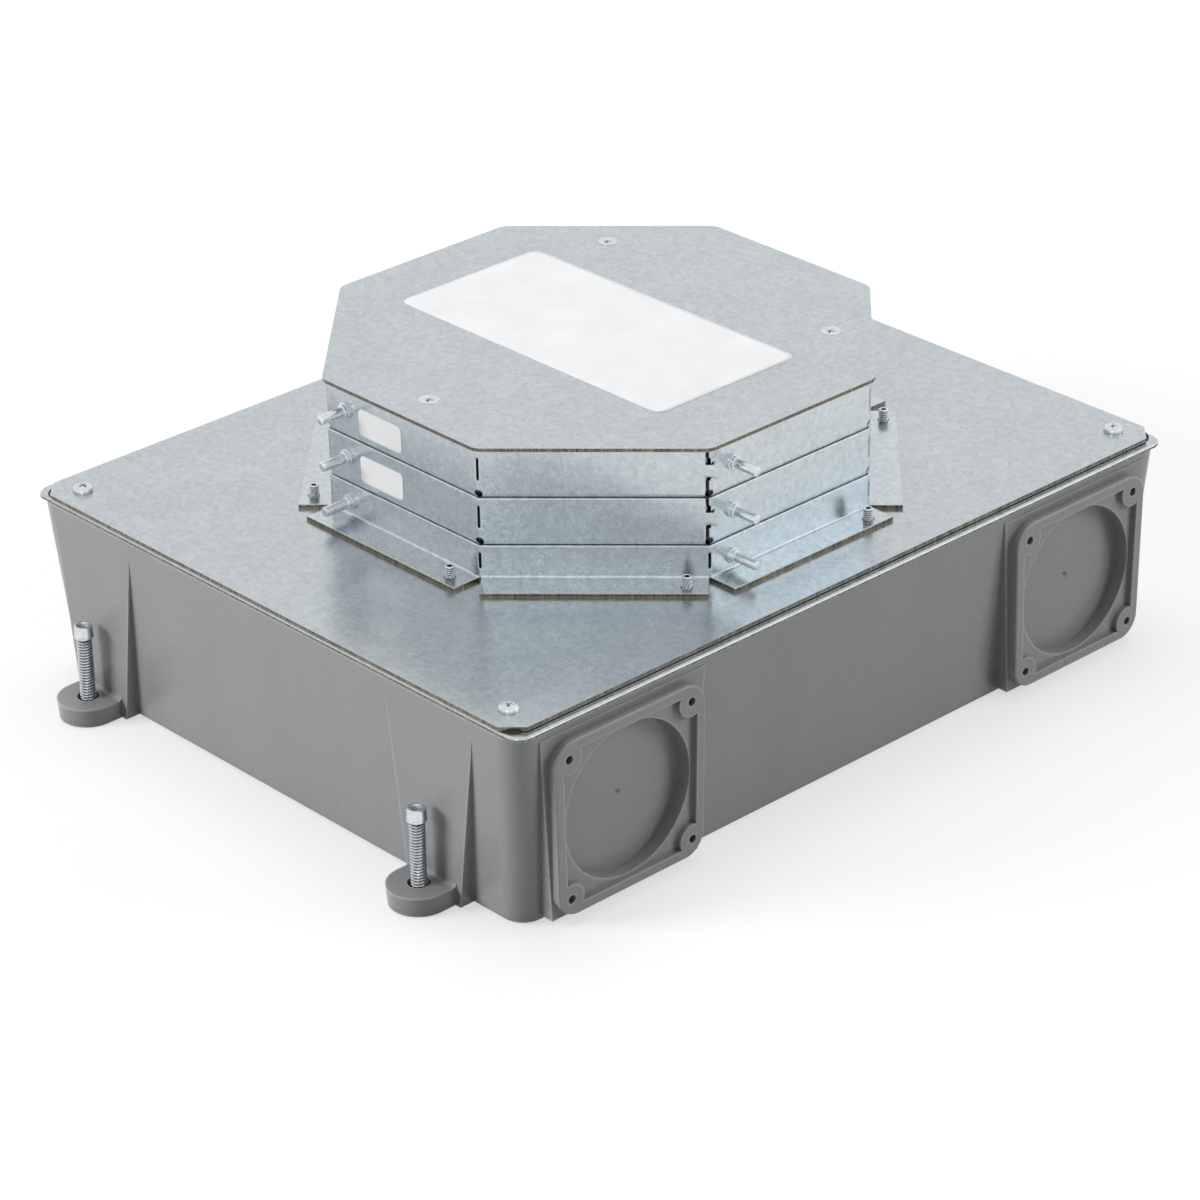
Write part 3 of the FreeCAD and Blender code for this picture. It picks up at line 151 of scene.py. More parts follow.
class FLOORBOX_PG_fasteners(bpy.types.PropertyGroup):
    """Sizes of the threaded fasteners and the studs."""

    levelling_diameter: length("Levelling screw", "Major diameter of the levelling screws", 6.35)
    levelling_pitch: length("Levelling pitch", "Pitch of the levelling screws", 1.27)
    levelling_flats: length("Levelling flats", "Width of the hex head over its flats", 7.1)
    levelling_corners: length("Levelling corners", "Width of the hex head over its trimmed corners", 7.5)
    levelling_collar: length("Levelling collar", "Diameter of the washer face under the hex", 7.9)
    levelling_collar_height: length("Collar height", "Height of the washer face", 0.9)
    levelling_head_height: length("Hex height", "Height of the hex above its washer face", 4.4)
    levelling_dish: length("Dish", "Diameter of the dish in the hex head", 4.8)
    levelling_dish_depth: length("Dish depth", "Depth of the dish in the hex head", 1.3)
    machine_diameter: length("Machine screw", "Major diameter of the small machine screws", 4.17)
    machine_pitch: length("Machine pitch", "Pitch of the small machine screws", 0.794)
    pan_diameter: length("Pan head", "Diameter of the pan heads", 8.1)
    pan_height: length("Pan height", "Height of the pan heads", 2.6)
    flat_diameter: length("Flat head", "Diameter of the countersunk heads", 8.4)
    flat_rim: length("Flat head rim", "Straight rim of the countersunk heads", 0.35)
    flat_cone: length("Flat head cone", "Height of the countersunk cone", 1.25)
    recess_reach: length("Recess reach", "Half length of a driver recess's arms", 2.15)
    recess_width: length("Recess width", "Width of a driver recess's arms", 1.15)
    recess_depth: length("Recess depth", "Depth of a driver recess", 1.5)
    socket_flats: length("Socket", "Hex socket of the set screws over its flats", 2.0)
    socket_depth: length("Socket depth", "Depth of the hex socket", 2.4)
    stud_diameter: length("Stud", "Diameter of the riser studs", 4.0)
    stud_collar: length("Stud collar", "Diameter of a stud's collar", 6.8)
    stud_collar_length: length("Stud collar length", "Length of a stud's collar", 1.4)
    stud_ring: length("Stud shoulder", "Diameter of a stud's shoulder", 5.6)
    stud_ring_length: length("Stud shoulder length", "Length of a stud's shoulder past its collar", 1.1)
    stud_head: length("Stud rivet head", "Diameter of a stud's rivet head inside the wall", 6.4)
    stud_head_length: length("Rivet head length", "Thickness of a stud's rivet head", 0.8)
    stud_offset: length("Stud offset", "Stud to the middle of its wall", 32.0)
    set_screw_offset: length("Set screw offset", "Set screw to the middle of its wall", 35.2)


class FLOORBOX_PG_labels(bpy.types.PropertyGroup):
    """Sizes of the blank labels."""

    thickness: length("Thickness", "Thickness of every label", 0.12)
    top_length: length("Top label length", "Length along Y of the label on the temporary cover", 151.0)
    top_width: length("Top label width", "Width along X of the label on the temporary cover", 75.0)
    top_shift: length("Top label shift", "Label's centre from the cover's centre along Y", 3.5)
    top_corner: length("Top label corner", "Corner radius of the label on the temporary cover", 4.5)
    wall_length: length("Ring label length", "Length along Y of a label on a spacer ring", 25.3)
    wall_height: length("Ring label height", "Height of a label on a spacer ring", 11.6)
    wall_shift: length("Ring label shift", "Label's centre from the wall's middle along Y", 12.0)
    wall_drop: length("Ring label drop", "Label's centre below the ring's top edge", 10.9)
    wall_corner: length("Ring label corner", "Corner radius of a label on a spacer ring", 2.2)


class FLOORBOX_PG_stage(bpy.types.PropertyGroup):
    """Floor, lamps, cards and camera."""

    floor_size: length("Floor", "Side of the square floor", 9000.0)
    floor_glow: number("Floor glow", "White the floor shows besides its lit colour", 0.60, 0.0, 1.0)
    floor_albedo: number("Floor colour", "Pale grey of the floor", 0.42, 0.0, 1.0)
    ambient: number("Ambient", "World light on dull surfaces", 0.20, 0.0, 2.0)
    key: number("Key lamp", "Watts of the large lamp on the left", 38.0)
    top: number("Top lamp", "Watts of the lamp overhead", 30.0)
    side: number("Side lamp", "Watts of the lamp on the right", 24.0)
    dark_card: number("Dark card", "Level of the card behind the camera that shiny surfaces show", 0.85)
    bright_card: number("Bright card", "Level of the card on the right that shiny surfaces show", 2.0)
    strip_card: number("Strip card", "Level of the narrow card on the left that shiny surfaces show", 9.0)
    focal: number("Focal length", "Camera focal length in millimetres on a 36 mm sensor", 131.86)
    shift_x: number("Shift X", "Camera shift across", 0.0174, -1.0)
    shift_y: number("Shift Y", "Camera shift up", -0.0021, -1.0)


# ---- surfaces -----------------------------------------------------------------------------------
def turn_angles(count):
    """Row of evenly spaced angles round one turn."""
    return np.linspace(0, TURN, count, endpoint=False)[np.newaxis, :]


def rings(theta, radius, height, shade=0.0):
    """Rings of points about Z: radius times the angle's cosine and sine, at the height.

    The arrays spread against each other to one row per ring and one column per angle. Each point also
    carries a shade, from 0 on open faces to 1 at the bottom of a groove, which sets how much painted shade
    darkens its finish.
    """
    theta, radius, height, shade = np.broadcast_arrays(theta, radius, height, shade)
    return np.stack((radius * np.cos(theta), radius * np.sin(theta), height, shade), axis=-1)


def column(*values):
    """One value per ring, as a column."""
    return np.array(values, float)[:, np.newaxis]


def hexagon_radius(theta, flats):
    """Centre to side of a hexagon in each direction.

    It is half the width over the flats, divided by the cosine of the angle from the nearest flat's middle.
    """
    sixth = TURN / 6
    return flats / 2 / np.cos((theta + sixth / 2) % sixth - sixth / 2)


def thread_rings(theta, diameter, pitch, low, high, steps=7):
    """Rings of a screw thread between two heights.

    The radius is the root radius plus the thread's depth times a clipped triangle wave of the height in
    pitches less the angle in turns. The wave fades to nothing over the first and the last pitch.
    """
    depth = THREAD_DEPTH * pitch
    height = np.linspace(low, high, int((high - low) / pitch * steps))[:, np.newaxis]
    wave = 1 - np.abs(2 * ((height / pitch - theta / TURN) % 1.0) - 1)
    crest = np.clip(1.35 * wave - 0.15, 0, 1)
    fade = np.clip(np.minimum(height - low, high - height) / pitch, 0, 1)
    groove = 1 - crest * fade
    # The groove share is also the point's painted shade, darkest at the thread's root.
    return rings(theta, diameter / 2 - depth * groove, height, groove)


def cross_depth(x, y, reach, width, depth):
    """Depth of a cross-shaped driver recess under each point.

    Each arm's depth grows from nothing at its outline to the full depth, by the distance inside the arm's
    end and its sides over their slopes, and the deeper arm counts.
    """
    end_slope = 0.75 * reach
    side_slope = 0.22 * width

    def arm(along, across):
        inside = np.minimum((reach - np.abs(along)) / end_slope, (width / 2 - np.abs(across)) / side_slope)
        return np.clip(inside, 0, 1)

    return depth * np.maximum(arm(x, y), arm(y, x))


def recessed_top(theta, radius, sizes, crown):
    """Rings from a head's rim to its middle, with the driver recess sunk below the crown's height.

    crown gives the height of the plain head at each distance from its axis.
    """
    share = np.linspace(1, 0.01, 26)[:, np.newaxis]
    points = rings(theta, radius * share, crown(radius * share))
    sink = cross_depth(
        points[..., 0], points[..., 1], sizes.recess_reach, sizes.recess_width, sizes.recess_depth
    )
    points[..., 2] -= sink
    # Painted shade in the recess, darkest at its bottom.
    points[..., 3] = sink / sizes.recess_depth
    return points


def tube_faces(rows, columns):
    """Quads between neighbouring rings of a tube, and the two faces that close its ends."""
    index = np.arange(rows * columns).reshape(rows, columns)
    following = np.roll(index, -1, axis=1)
    quads = np.stack((index[:-1], following[:-1], following[1:], index[1:]), axis=-1)
    return quads.reshape(-1, 4), np.stack((index[0, ::-1], index[-1]))


def tubes_object(name, tubes):
    """One mesh object from closed tubes, each an array of rings from its low end to its high end."""
    points = np.concatenate([tube.reshape(-1, 4) for tube in tubes])
    faces = []
    start = 0
    for tube in tubes:
        quads, ends = tube_faces(*tube.shape[:2])
        faces += (quads + start).tolist() + (ends + start).tolist()
        start += tube.shape[0] * tube.shape[1]
    piece = mesh_object(name, points[:, :3], faces)
    # Each point's shade is kept for the painted shade in grooves and recesses.
    shade = piece.data.attributes.new("groove", "FLOAT", "POINT")
    shade.data.foreach_set("value", points[:, 3].astype(np.float32))
    return piece


def mesh_object(name, points, faces):
    """Mesh object at the origin, smooth but for its sharp edges."""
    mesh = bpy.data.meshes.new(name)
    mesh.from_pydata(points.tolist(), [], faces)
    mesh.update()
    mesh.shade_smooth()
    mesh.set_sharp_from_angle(angle=SHARP_ANGLE)
    piece = bpy.data.objects.new(name, mesh)
    bpy.context.scene.collection.objects.link(piece)
    return piece


def moved(points, x, y, z=0.0):
    """Points shifted to a place."""
    return points + np.array((x, y, z, 0))


def turned(points, degrees):
    """Points turned about Z: x and y mixed by the angle's cosine and sine."""
    cosine, sine = math.cos(math.radians(degrees)), math.sin(math.radians(degrees))
    turn = np.eye(4)
    turn[:2, :2] = (cosine, -sine), (sine, cosine)
    return points @ turn.T


def laid_along_x(points):
    """Points turned so that their Z axis runs along X: (x, y, z) becomes (z, x, y)."""
    return points[..., (2, 0, 1, 3)]


def rounded_sheet(length_u, length_v, radius, columns=48, rows=32):
    """Grid over a rectangle with rounded corners, centred on the origin, as u and v.

    An even grid fills the rectangle. In each corner's square the grid is drawn in, so that the larger of
    the two distances from the corner's centre becomes the true distance, and the square a quarter disc.
    """
    u, v = np.meshgrid(np.linspace(-1, 1, columns) * length_u / 2, np.linspace(-1, 1, rows) * length_v / 2)
    du = np.maximum(np.abs(u) - (length_u / 2 - radius), 0)
    dv = np.maximum(np.abs(v) - (length_v / 2 - radius), 0)
    far = np.hypot(du, dv)
    draw = np.where(far > 0, np.maximum(du, dv) / np.where(far > 0, far, 1), 1)
    u = np.sign(u) * (np.abs(u) - du + du * draw)
    v = np.sign(v) * (np.abs(v) - dv + dv * draw)
    return u, v


def sheet_object(name, points, thickness):
    """Thin sheet from a grid of points, thickened towards its faces' normals."""
    rows, columns = points.shape[:2]
    index = np.arange(rows * columns).reshape(rows, columns)
    quads = np.stack((index[:-1, :-1], index[:-1, 1:], index[1:, 1:], index[1:, :-1]), axis=-1)
    piece = mesh_object(name, points.reshape(-1, 3), quads.reshape(-1, 4).tolist())
    wall = piece.modifiers.new("thickness", "SOLIDIFY")
    wall.thickness = thickness
    wall.offset = 1.0
    return piece


# ---- materials ----------------------------------------------------------------------------------
def shader_tree(name):
    """New material with its node tree and its principled shader."""
    material = bpy.data.materials.new(name)
    material.use_nodes = True
    return material, material.node_tree, material.node_tree.nodes["Principled BSDF"]


def feed(tree, node, inputs):
    """Gives a node's inputs their plain values, or links them to the sockets that feed them."""
    for key, value in inputs.items():
        if isinstance(value, bpy.types.NodeSocket):
            tree.links.new(value, node.inputs[key])
        else:
            node.inputs[key].default_value = value


def add_node(tree, kind, inputs, **settings):
    """New node of a kind, with its settings and its inputs."""
    node = tree.nodes.new(kind)
    for key, value in settings.items():
        setattr(node, key, value)
    feed(tree, node, inputs)
    return node


def object_place(tree, scale=(1, 1, 1)):
    """Object coordinates, stretched by a scale."""
    place = tree.nodes.new("ShaderNodeTexCoord").outputs["Object"]
    return add_node(tree, "ShaderNodeMapping", {"Vector": place, "Scale": scale}).outputs["Vector"]


def noise(tree, place, scale, detail=3.0, roughness=0.5):
    """Cloudy noise between 0 and 1."""
    inputs = {"Vector": place, "Scale": scale, "Detail": detail, "Roughness": roughness}
    return add_node(tree, "ShaderNodeTexNoise", inputs).outputs["Fac"]


def crystals(tree, place, scale):
    """Random grey of the irregular cells that a zinc coat crystallises in."""
    cells = add_node(tree, "ShaderNodeTexVoronoi", {"Vector": place, "Scale": scale})
    return add_node(tree, "ShaderNodeRGBToBW", {"Color": cells.outputs["Color"]}).outputs["Val"]


def ranged(tree, value, low, high, from_low=0.0, from_high=1.0):
    """Value moved from one range to another and kept inside it."""
    inputs = {"Value": value, "From Min": from_low, "From Max": from_high, "To Min": low, "To Max": high}
    return add_node(tree, "ShaderNodeMapRange", inputs).outputs["Result"]


def maths(tree, operation, first, second):
    """One arithmetic step."""
    return add_node(tree, "ShaderNodeMath", {0: first, 1: second}, operation=operation).outputs["Value"]


def weighted(tree, *terms):
    """Sum of values, each times its weight."""
    total = None
    for value, weight in terms:
        part = maths(tree, "MULTIPLY", value, weight)
        total = part if total is None else maths(tree, "ADD", total, part)
    return total


def mixed(tree, factor, first, second):
    """Colour between two colours."""
    inputs = {0: factor, 6: first, 7: second}
    return add_node(tree, "ShaderNodeMix", inputs, data_type="RGBA").outputs[2]


def bumped(tree, height, distance, strength=1.0, below=None):
    """Normal raised by a height field, on top of another normal if one is given."""
    inputs = {"Height": height, "Distance": distance, "Strength": strength}
    if below is not None:
        inputs["Normal"] = below
    return add_node(tree, "ShaderNodeBump", inputs).outputs["Normal"]


def rounded_normal(tree, radius):
    """Normal that rounds edges off in the shading alone."""
    return add_node(tree, "ShaderNodeBevel", {"Radius": radius}, samples=SHADING_SAMPLES).outputs["Normal"]


def occlusion(tree, distance, inside=False):
    """1 on open faces, falling to 0 in hollows, or near outer edges where it looks inside."""
    settings = {"samples": SHADING_SAMPLES, "inside": inside, "only_local": inside}
    return add_node(tree, "ShaderNodeAmbientOcclusion", {"Distance": distance}, **settings).outputs["AO"]


def seen_directly(tree):
    """1 for rays from the eye and from shiny or clear surfaces, 0 for all others."""
    path = tree.nodes.new("ShaderNodeLightPath")
    seen = maths(tree, "ADD", path.outputs["Is Camera Ray"], path.outputs["Is Glossy Ray"])
    seen = maths(tree, "ADD", seen, path.outputs["Is Transmission Ray"])
    return maths(tree, "MINIMUM", seen, 1.0)


def opaque(value):
    """Colour with its alpha."""
    return (*value, 1.0)


def pvc_material(colours):
    """Satin moulded PVC: cloudy grey, fine grain, a slight ripple, painted highlights on outer corners and
    painted shade in hollows.
    """
    material, tree, shader = shader_tree("moulded_pvc")
    place = object_place(tree)
    cloud = noise(tree, object_place(tree, (1, 1, 0.12)), 30.0, 4.0, 0.55)
    grain = noise(tree, place, 1500.0, 2.0)
    ripple = noise(tree, object_place(tree, (1, 1, 0.5)), 70.0, 2.0, 0.4)
    speck = ranged(tree, noise(tree, place, 520.0, 2.0), 0.0, 0.30, 0.79, 0.83)
    cloud = ranged(tree, cloud, 0, 1, 0.3, 0.7)
    grey = mixed(tree, cloud, opaque(colours.pvc_dark), opaque(colours.pvc_light))
    grey = mixed(tree, speck, grey, PVC_SPECK)
    # Painted shade: the grey darkens towards the hollow colour in inner corners and holes.
    hollow = ranged(tree, occlusion(tree, 5.0 * MM), 0.40, 0.0, 0.30, 0.90)
    grey = mixed(tree, hollow, grey, opaque(colours.pvc_hollow_shade))
    # Painted highlight: the grey pales towards the edge colour along outer corners.
    edge = ranged(tree, occlusion(tree, 1.0 * MM, inside=True), 0.9, 0.0, 0.55, 0.90)
    grey = mixed(tree, edge, grey, opaque(colours.pvc_edge_highlight))
    normal = bumped(tree, ripple, 0.05 * MM, below=rounded_normal(tree, 0.45 * MM))
    normal = bumped(tree, grain, 0.012 * MM, below=normal)
    feed(tree, shader, {
        "Base Color": grey,
        "Roughness": ranged(tree, noise(tree, place, 40.0, 5.0, 0.6), 0.22, 0.34, 0.25, 0.75),
        "Specular IOR Level": 0.5,
        "Normal": normal,
    })
    return material


def steel_material(name, colours, tabs_top=None):
    """Galvanised sheet: soft cloudy patches, rolling streaks, zinc crystals, a fine sparkle and a painted
    highlight along outer edges.

    Upright faces are sheared edges and show duller, finely streaked steel. On a ring only the edges of
    the base tabs, which lie below tabs_top, are sheared, and the folded corners are rounded by shading.
    """
    material, tree, shader = shader_tree(name)
    place = object_place(tree)
    patches = noise(tree, place, 34.0, 4.0, 0.5)
    broad = noise(tree, place, 7.0, 2.0, 0.5)
    streaks = noise(tree, object_place(tree, (3, 70, 3)), 11.0, 3.0)
    large = crystals(tree, place, 520.0)
    sparkle = noise(tree, place, 1500.0, 3.0, 0.6)
    shade = weighted(tree, (patches, 0.16), (broad, 0.08), (streaks, 0.10), (large, 0.24), (sparkle, 0.42))
    tone = RING_TONE if tabs_top else 1.0
    dull = opaque([tone * value for value in colours.steel_dark])
    bright = opaque([tone * value for value in colours.steel_light])
    metal = mixed(tree, ranged(tree, shade, 0, 1, 0.20, 0.80), dull, bright)
    # Painted highlight: a bright line along the sheets' outer edges, where the face meets the edge.
    edge_highlight = ranged(tree, occlusion(tree, 0.4 * MM, inside=True), 0.4, 0.0, 0.50, 0.90)
    coordinates = tree.nodes.new("ShaderNodeTexCoord")
    normal = add_node(tree, "ShaderNodeSeparateXYZ", {"Vector": coordinates.outputs["Normal"]})
    edge = maths(tree, "LESS_THAN", maths(tree, "ABSOLUTE", normal.outputs["Z"], 0.0), UPRIGHT)
    hatch = noise(tree, object_place(tree, (1, 1, 0.12)), 2100.0, 2.0, 0.6)
    dark = colours.tab_edge if tabs_top else colours.cut_edge
    bare = mixed(tree, ranged(tree, hatch, 0, 0.7, 0.4, 0.62), opaque(dark), opaque(colours.edge_shine))
    base = None
    if tabs_top:
        level = add_node(tree, "ShaderNodeSeparateXYZ", {"Vector": coordinates.outputs["Object"]})
        edge = maths(tree, "MULTIPLY", edge, maths(tree, "LESS_THAN", level.outputs["Z"], tabs_top))
        base = rounded_normal(tree, 1.0 * MM)
    rough = ranged(tree, maths(tree, "ADD", patches, sparkle), 0.18, 0.29, 0.6, 1.4)
    feed(tree, shader, {
        "Base Color": mixed(tree, edge_highlight, mixed(tree, edge, metal, bare), opaque(colours.steel_edge_highlight)),
        "Metallic": 0.94,
        "Roughness": rough,
        "Normal": bumped(tree, sparkle, 0.011 * MM, below=bumped(tree, patches, 0.08 * MM, below=base)),
    })
    return material


def zinc_material(colours):
    """Bright zinc plate on a turned or rolled fastener, with painted shade down in its grooves and recesses.
    """
    material, tree, shader = shader_tree("zinc_plate")
    place = object_place(tree)
    cloud = noise(tree, place, 420.0, 3.0)
    groove = add_node(tree, "ShaderNodeAttribute", {}, attribute_name="groove").outputs["Fac"]
    plate = mixed(tree, cloud, opaque(colours.zinc_dark), opaque(colours.zinc_light))
    feed(tree, shader, {
        # Painted shade: the plate darkens towards the groove shade colour by each point's shade.
        "Base Color": mixed(tree, ranged(tree, groove, 0.0, 0.85), plate, opaque(colours.groove_shade)),
        "Metallic": 1.0,
        "Roughness": ranged(tree, noise(tree, place, 900.0, 2.0), 0.14, 0.34, 0.3, 0.7),
        "Normal": bumped(tree, noise(tree, place, 2200.0, 2.0), 0.005 * MM),
    })
    return material


def brass_material(colours):
    """Turned brass, a little dulled."""
    material, tree, shader = shader_tree("brass")
    place = object_place(tree, (1, 1, 12))
    lines = noise(tree, place, 260.0, 3.0)
    dull = opaque([0.6 * value for value in colours.brass])
    feed(tree, shader, {
        "Base Color": mixed(tree, lines, opaque(colours.brass), dull),
        "Metallic": 1.0,
        "Roughness": ranged(tree, lines, 0.22, 0.42),
        "Normal": bumped(tree, lines, 0.01 * MM),
    })
    return material


def seal_material(colours):
    """Dull black foam with open pores on its cut edge."""
    material, tree, shader = shader_tree("foam_seal")
    place = object_place(tree)
    pores = crystals(tree, place, 1800.0)
    grey = opaque([2.2 * value for value in colours.seal])
    feed(tree, shader, {
        "Base Color": mixed(tree, pores, opaque(colours.seal), grey),
        "Roughness": ranged(tree, pores, 0.75, 0.95),
        "Normal": bumped(tree, pores, 0.06 * MM),
    })
    return material


def label_material(colours):
    """Blank coated paper: a trace of fibre in its colour, its gloss and its face."""
    material, tree, shader = shader_tree("label_paper")
    place = object_place(tree)
    fibre = noise(tree, object_place(tree, (1, 0.25, 1)), 900.0, 4.0, 0.6)
    warm = opaque([0.94 * value for value in colours.label])
    cloud = ranged(tree, noise(tree, place, 60.0), 0, 1, 0.3, 0.7)
    feed(tree, shader, {
        "Base Color": mixed(tree, cloud, opaque(colours.label), warm),
        "Specular IOR Level": 0.15,
        "Roughness": ranged(tree, fibre, 0.38, 0.55),
        "Normal": bumped(tree, fibre, 0.008 * MM),
    })
    return material


def earth_material(colours):
    """Green passivated steel, paler in patches of wear."""
    material, tree, shader = shader_tree("green_passivated_steel")
    place = object_place(tree)
    wear = ranged(tree, noise(tree, place, 500.0, 4.0), 0, 0.5, 0.5, 0.7)
    feed(tree, shader, {
        "Base Color": mixed(tree, wear, opaque(colours.earth), EARTH_WORN),
        "Metallic": 0.8,
        "Roughness": ranged(tree, noise(tree, place, 800.0), 0.28, 0.42),
    })
    return material


def floor_material(stage):
    """Pale floor that glows for the eye and for mirrors only, so it stays white and keeps shadows.

    The glow grows away from the middle, where the lamps' light falls off.
    """
    material, tree, shader = shader_tree("studio_floor")
    out = add_node(tree, "ShaderNodeVectorMath", {0: object_place(tree)}, operation="LENGTH").outputs["Value"]
    level = ranged(tree, out, stage.floor_glow, FLOOR_GLOW_FAR, *FLOOR_GLOW_SPREAD)
    cloud = noise(tree, object_place(tree), 3.0)
    pale, dull = (opaque([grey] * 3) for grey in (stage.floor_albedo, 0.98 * stage.floor_albedo))
    feed(tree, shader, {
        "Base Color": mixed(tree, cloud, pale, dull),
        "Roughness": 0.9,
        "Specular IOR Level": 0.0,
        "Emission Color": WHITE,
        "Emission Strength": maths(tree, "MULTIPLY", seen_directly(tree), level),
    })
    return material


# ---- putting pieces in place --------------------------------------------------------------------
def give_material(node_names, material):
    """Puts the material on CAD nodes, in place of what they came with."""
    for name in node_names:
        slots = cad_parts[name].data.materials
        slots.clear()
        slots.append(material)


def seat_piece(piece, body, material, replaced=()):
    """Gives a new piece its material, the body it rides on and the CAD nodes that it stands for."""
    piece.data.materials.append(material)
    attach(piece, body)
    if replaced:
        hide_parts(*replaced)


def seat_fastener(piece, body, node):
    """Seats a zinc-plated piece that stands for one CAD node."""
    seat_piece(piece, body, material_named("zinc_plate"), [node])


def material_named(name):
    """Material made by the finishes operator."""
    if name not in bpy.data.materials:
        raise RuntimeError("make the finishes before the pieces")
    return bpy.data.materials[name]


# ---- operators ----------------------------------------------------------------------------------
class FLOORBOX_OT_finishes(bpy.types.Operator):
    """Make the materials"""

    bl_idname = "floorbox.finishes"
    bl_label = "Finishes"

    def execute(self, context):
        colours = context.scene.floorbox_colours
        tabs_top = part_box("cover_plate")[1].z + RING_SHEET
        pvc_material(colours)
        steel_material("galvanised_sheet", colours)
        steel_material("galvanised_ring", colours, tabs_top)
        zinc_material(colours)
        brass_material(colours)
        seal_material(colours)
        label_material(colours)
        earth_material(colours)
        return {"FINISHED"}


class FLOORBOX_OT_moulded_box(bpy.types.Operator):
    """Finish the moulded PVC box"""

    bl_idname = "floorbox.moulded_box"
    bl_label = "Moulded box"

    def execute(self, context):
        give_material(["pvc_box"], material_named("moulded_pvc"))
        return {"FINISHED"}


class FLOORBOX_OT_sheet_steel(bpy.types.Operator):
    """Finish the cover, its frame, the temporary cover and the partition"""

    bl_idname = "floorbox.sheet_steel"
    bl_label = "Sheet steel"

    def execute(self, context):
        sheets = ["cover_plate", "mounting_frame", "temporary_cover", "partition_panel"]
        give_material(sheets, material_named("galvanised_sheet"))
        give_material(["base_ring", "middle_ring", "top_ring"], material_named("galvanised_ring"))
        return {"FINISHED"}


class FLOORBOX_OT_seals_and_inserts(bpy.types.Operator):
    """Finish the foam seals, the threaded inserts, the clinch nuts and the earth screw"""

    bl_idname = "floorbox.seals_and_inserts"
    bl_label = "Seals and inserts"

    def execute(self, context):
        give_material(["rim_seal", "cover_seal"], material_named("foam_seal"))
        give_material(["cover_inserts", "levelling_inserts"], material_named("brass"))
        give_material(["ring_clinch_nuts"], material_named("zinc_plate"))
        give_material(["earth_screw"], material_named("green_passivated_steel"))
        return {"FINISHED"}


class FLOORBOX_OT_levelling_screws(bpy.types.Operator):
    """Make the four threaded levelling screws"""

    bl_idname = "floorbox.levelling_screws"
    bl_label = "Levelling screws"

    @staticmethod
    def screw(sizes, low, high):
        """Rings of one screw: chamfered tip, thread, washer face, chamfered hex and dished top.

        The hex's radius is the smaller of the hexagon's and a cone's, which rounds its corners off.
        """
        theta = turn_angles(48)
        seat = high - sizes.levelling_head_height - sizes.levelling_collar_height
        collar = sizes.levelling_collar / 2
        shoulder = seat + sizes.levelling_collar_height
        trimmed = np.minimum(hexagon_radius(theta, sizes.levelling_flats), sizes.levelling_corners / 2)
        flat = sizes.levelling_flats / 2
        dish = sizes.levelling_dish / 2
        root = sizes.levelling_diameter / 2 - THREAD_DEPTH * sizes.levelling_pitch
        return np.concatenate([
            rings(theta, column(root - 0.5 * MM), low),
            thread_rings(theta, sizes.levelling_diameter, sizes.levelling_pitch, low + 0.3 * MM, seat),
            rings(theta, column(collar - 0.15 * MM, collar, collar - 0.05 * MM),
                  column(0, 0.1, 0.5) * MM + seat),
            # Painted shade where the hex meets its washer face.
            rings(theta, trimmed + 0.12 * MM, shoulder + 0.05 * MM, 0.35),
            rings(theta, trimmed, shoulder + 0.25 * MM),
            rings(theta, trimmed, high - 0.75 * MM),
            rings(theta, np.minimum(trimmed, 1.04 * flat), high - 0.45 * MM),
            rings(theta, np.minimum(trimmed, 0.95 * flat), high - 0.12 * MM),
            rings(theta, column(0.88 * flat, dish + 0.25 * MM), high),
            # The dish carries painted shade below its rim.
            rings(theta, column(dish, 0.90 * dish, 0.55 * dish, 0.02 * dish),
                  high - column(0.08, 0.55, 0.9, 1.0) * sizes.levelling_dish_depth, column(0, 0.5, 0.5, 0.5)),
        ])

    def execute(self, context):
        sizes = context.scene.floorbox_fasteners
        for side in LEVELLING_SCREWS:
            node = "levelling_screw_" + side
            low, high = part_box(node)
            centre = (low + high) / 2
            points = moved(self.screw(sizes, low.z, high.z), centre.x, centre.y)
            piece = tubes_object("threaded_levelling_screw_" + side, [points])
            seat_fastener(piece, "leveller_" + side, node)
        return {"FINISHED"}


class FLOORBOX_OT_cover_screws(bpy.types.Operator):
    """Make the pan-head screws of the cover"""

    bl_idname = "floorbox.cover_screws"
    bl_label = "Cover screws"

    @staticmethod
    def screw(sizes, low, high):
        """Rings of one screw: thread, flat underside, straight rim and crown with a driver recess.

        The crown's height falls from the top by the square root of one less the cube of the distance
        from the axis over the head's radius.
        """
        theta = turn_angles(72)
        radius = sizes.pan_diameter / 2
        seat = high - sizes.pan_height
        rim = seat + 0.38 * sizes.pan_height

        def crown(distance):
            share = np.clip(distance / radius, 0, 1)
            return rim + (high - rim) * np.sqrt(1 - share**3)

        return np.concatenate([
            thread_rings(theta, sizes.machine_diameter, sizes.machine_pitch, low, seat),
            rings(theta, column(radius - 0.2 * MM, radius), column(0, 0.15 * MM) + seat),
            recessed_top(theta, radius, sizes, crown),
        ])

    def execute(self, context):
        sizes = context.scene.floorbox_fasteners
        low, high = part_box("cover_screws")
        x = high.x - sizes.pan_diameter / 2
        y = high.y - sizes.pan_diameter / 2
        plain = self.screw(sizes, low.z, high.z)
        # Each screw's recess was left at an angle of its own.
        places = [(sx * x, sy * y, 17 + 40 * sx + 25 * sy) for sx in (-1, 1) for sy in (-1, 1)]
        tubes = [moved(turned(plain, angle), px, py) for px, py, angle in places]
        piece = tubes_object("pan_head_screws", tubes)
        seat_fastener(piece, "box", "cover_screws")
        return {"FINISHED"}


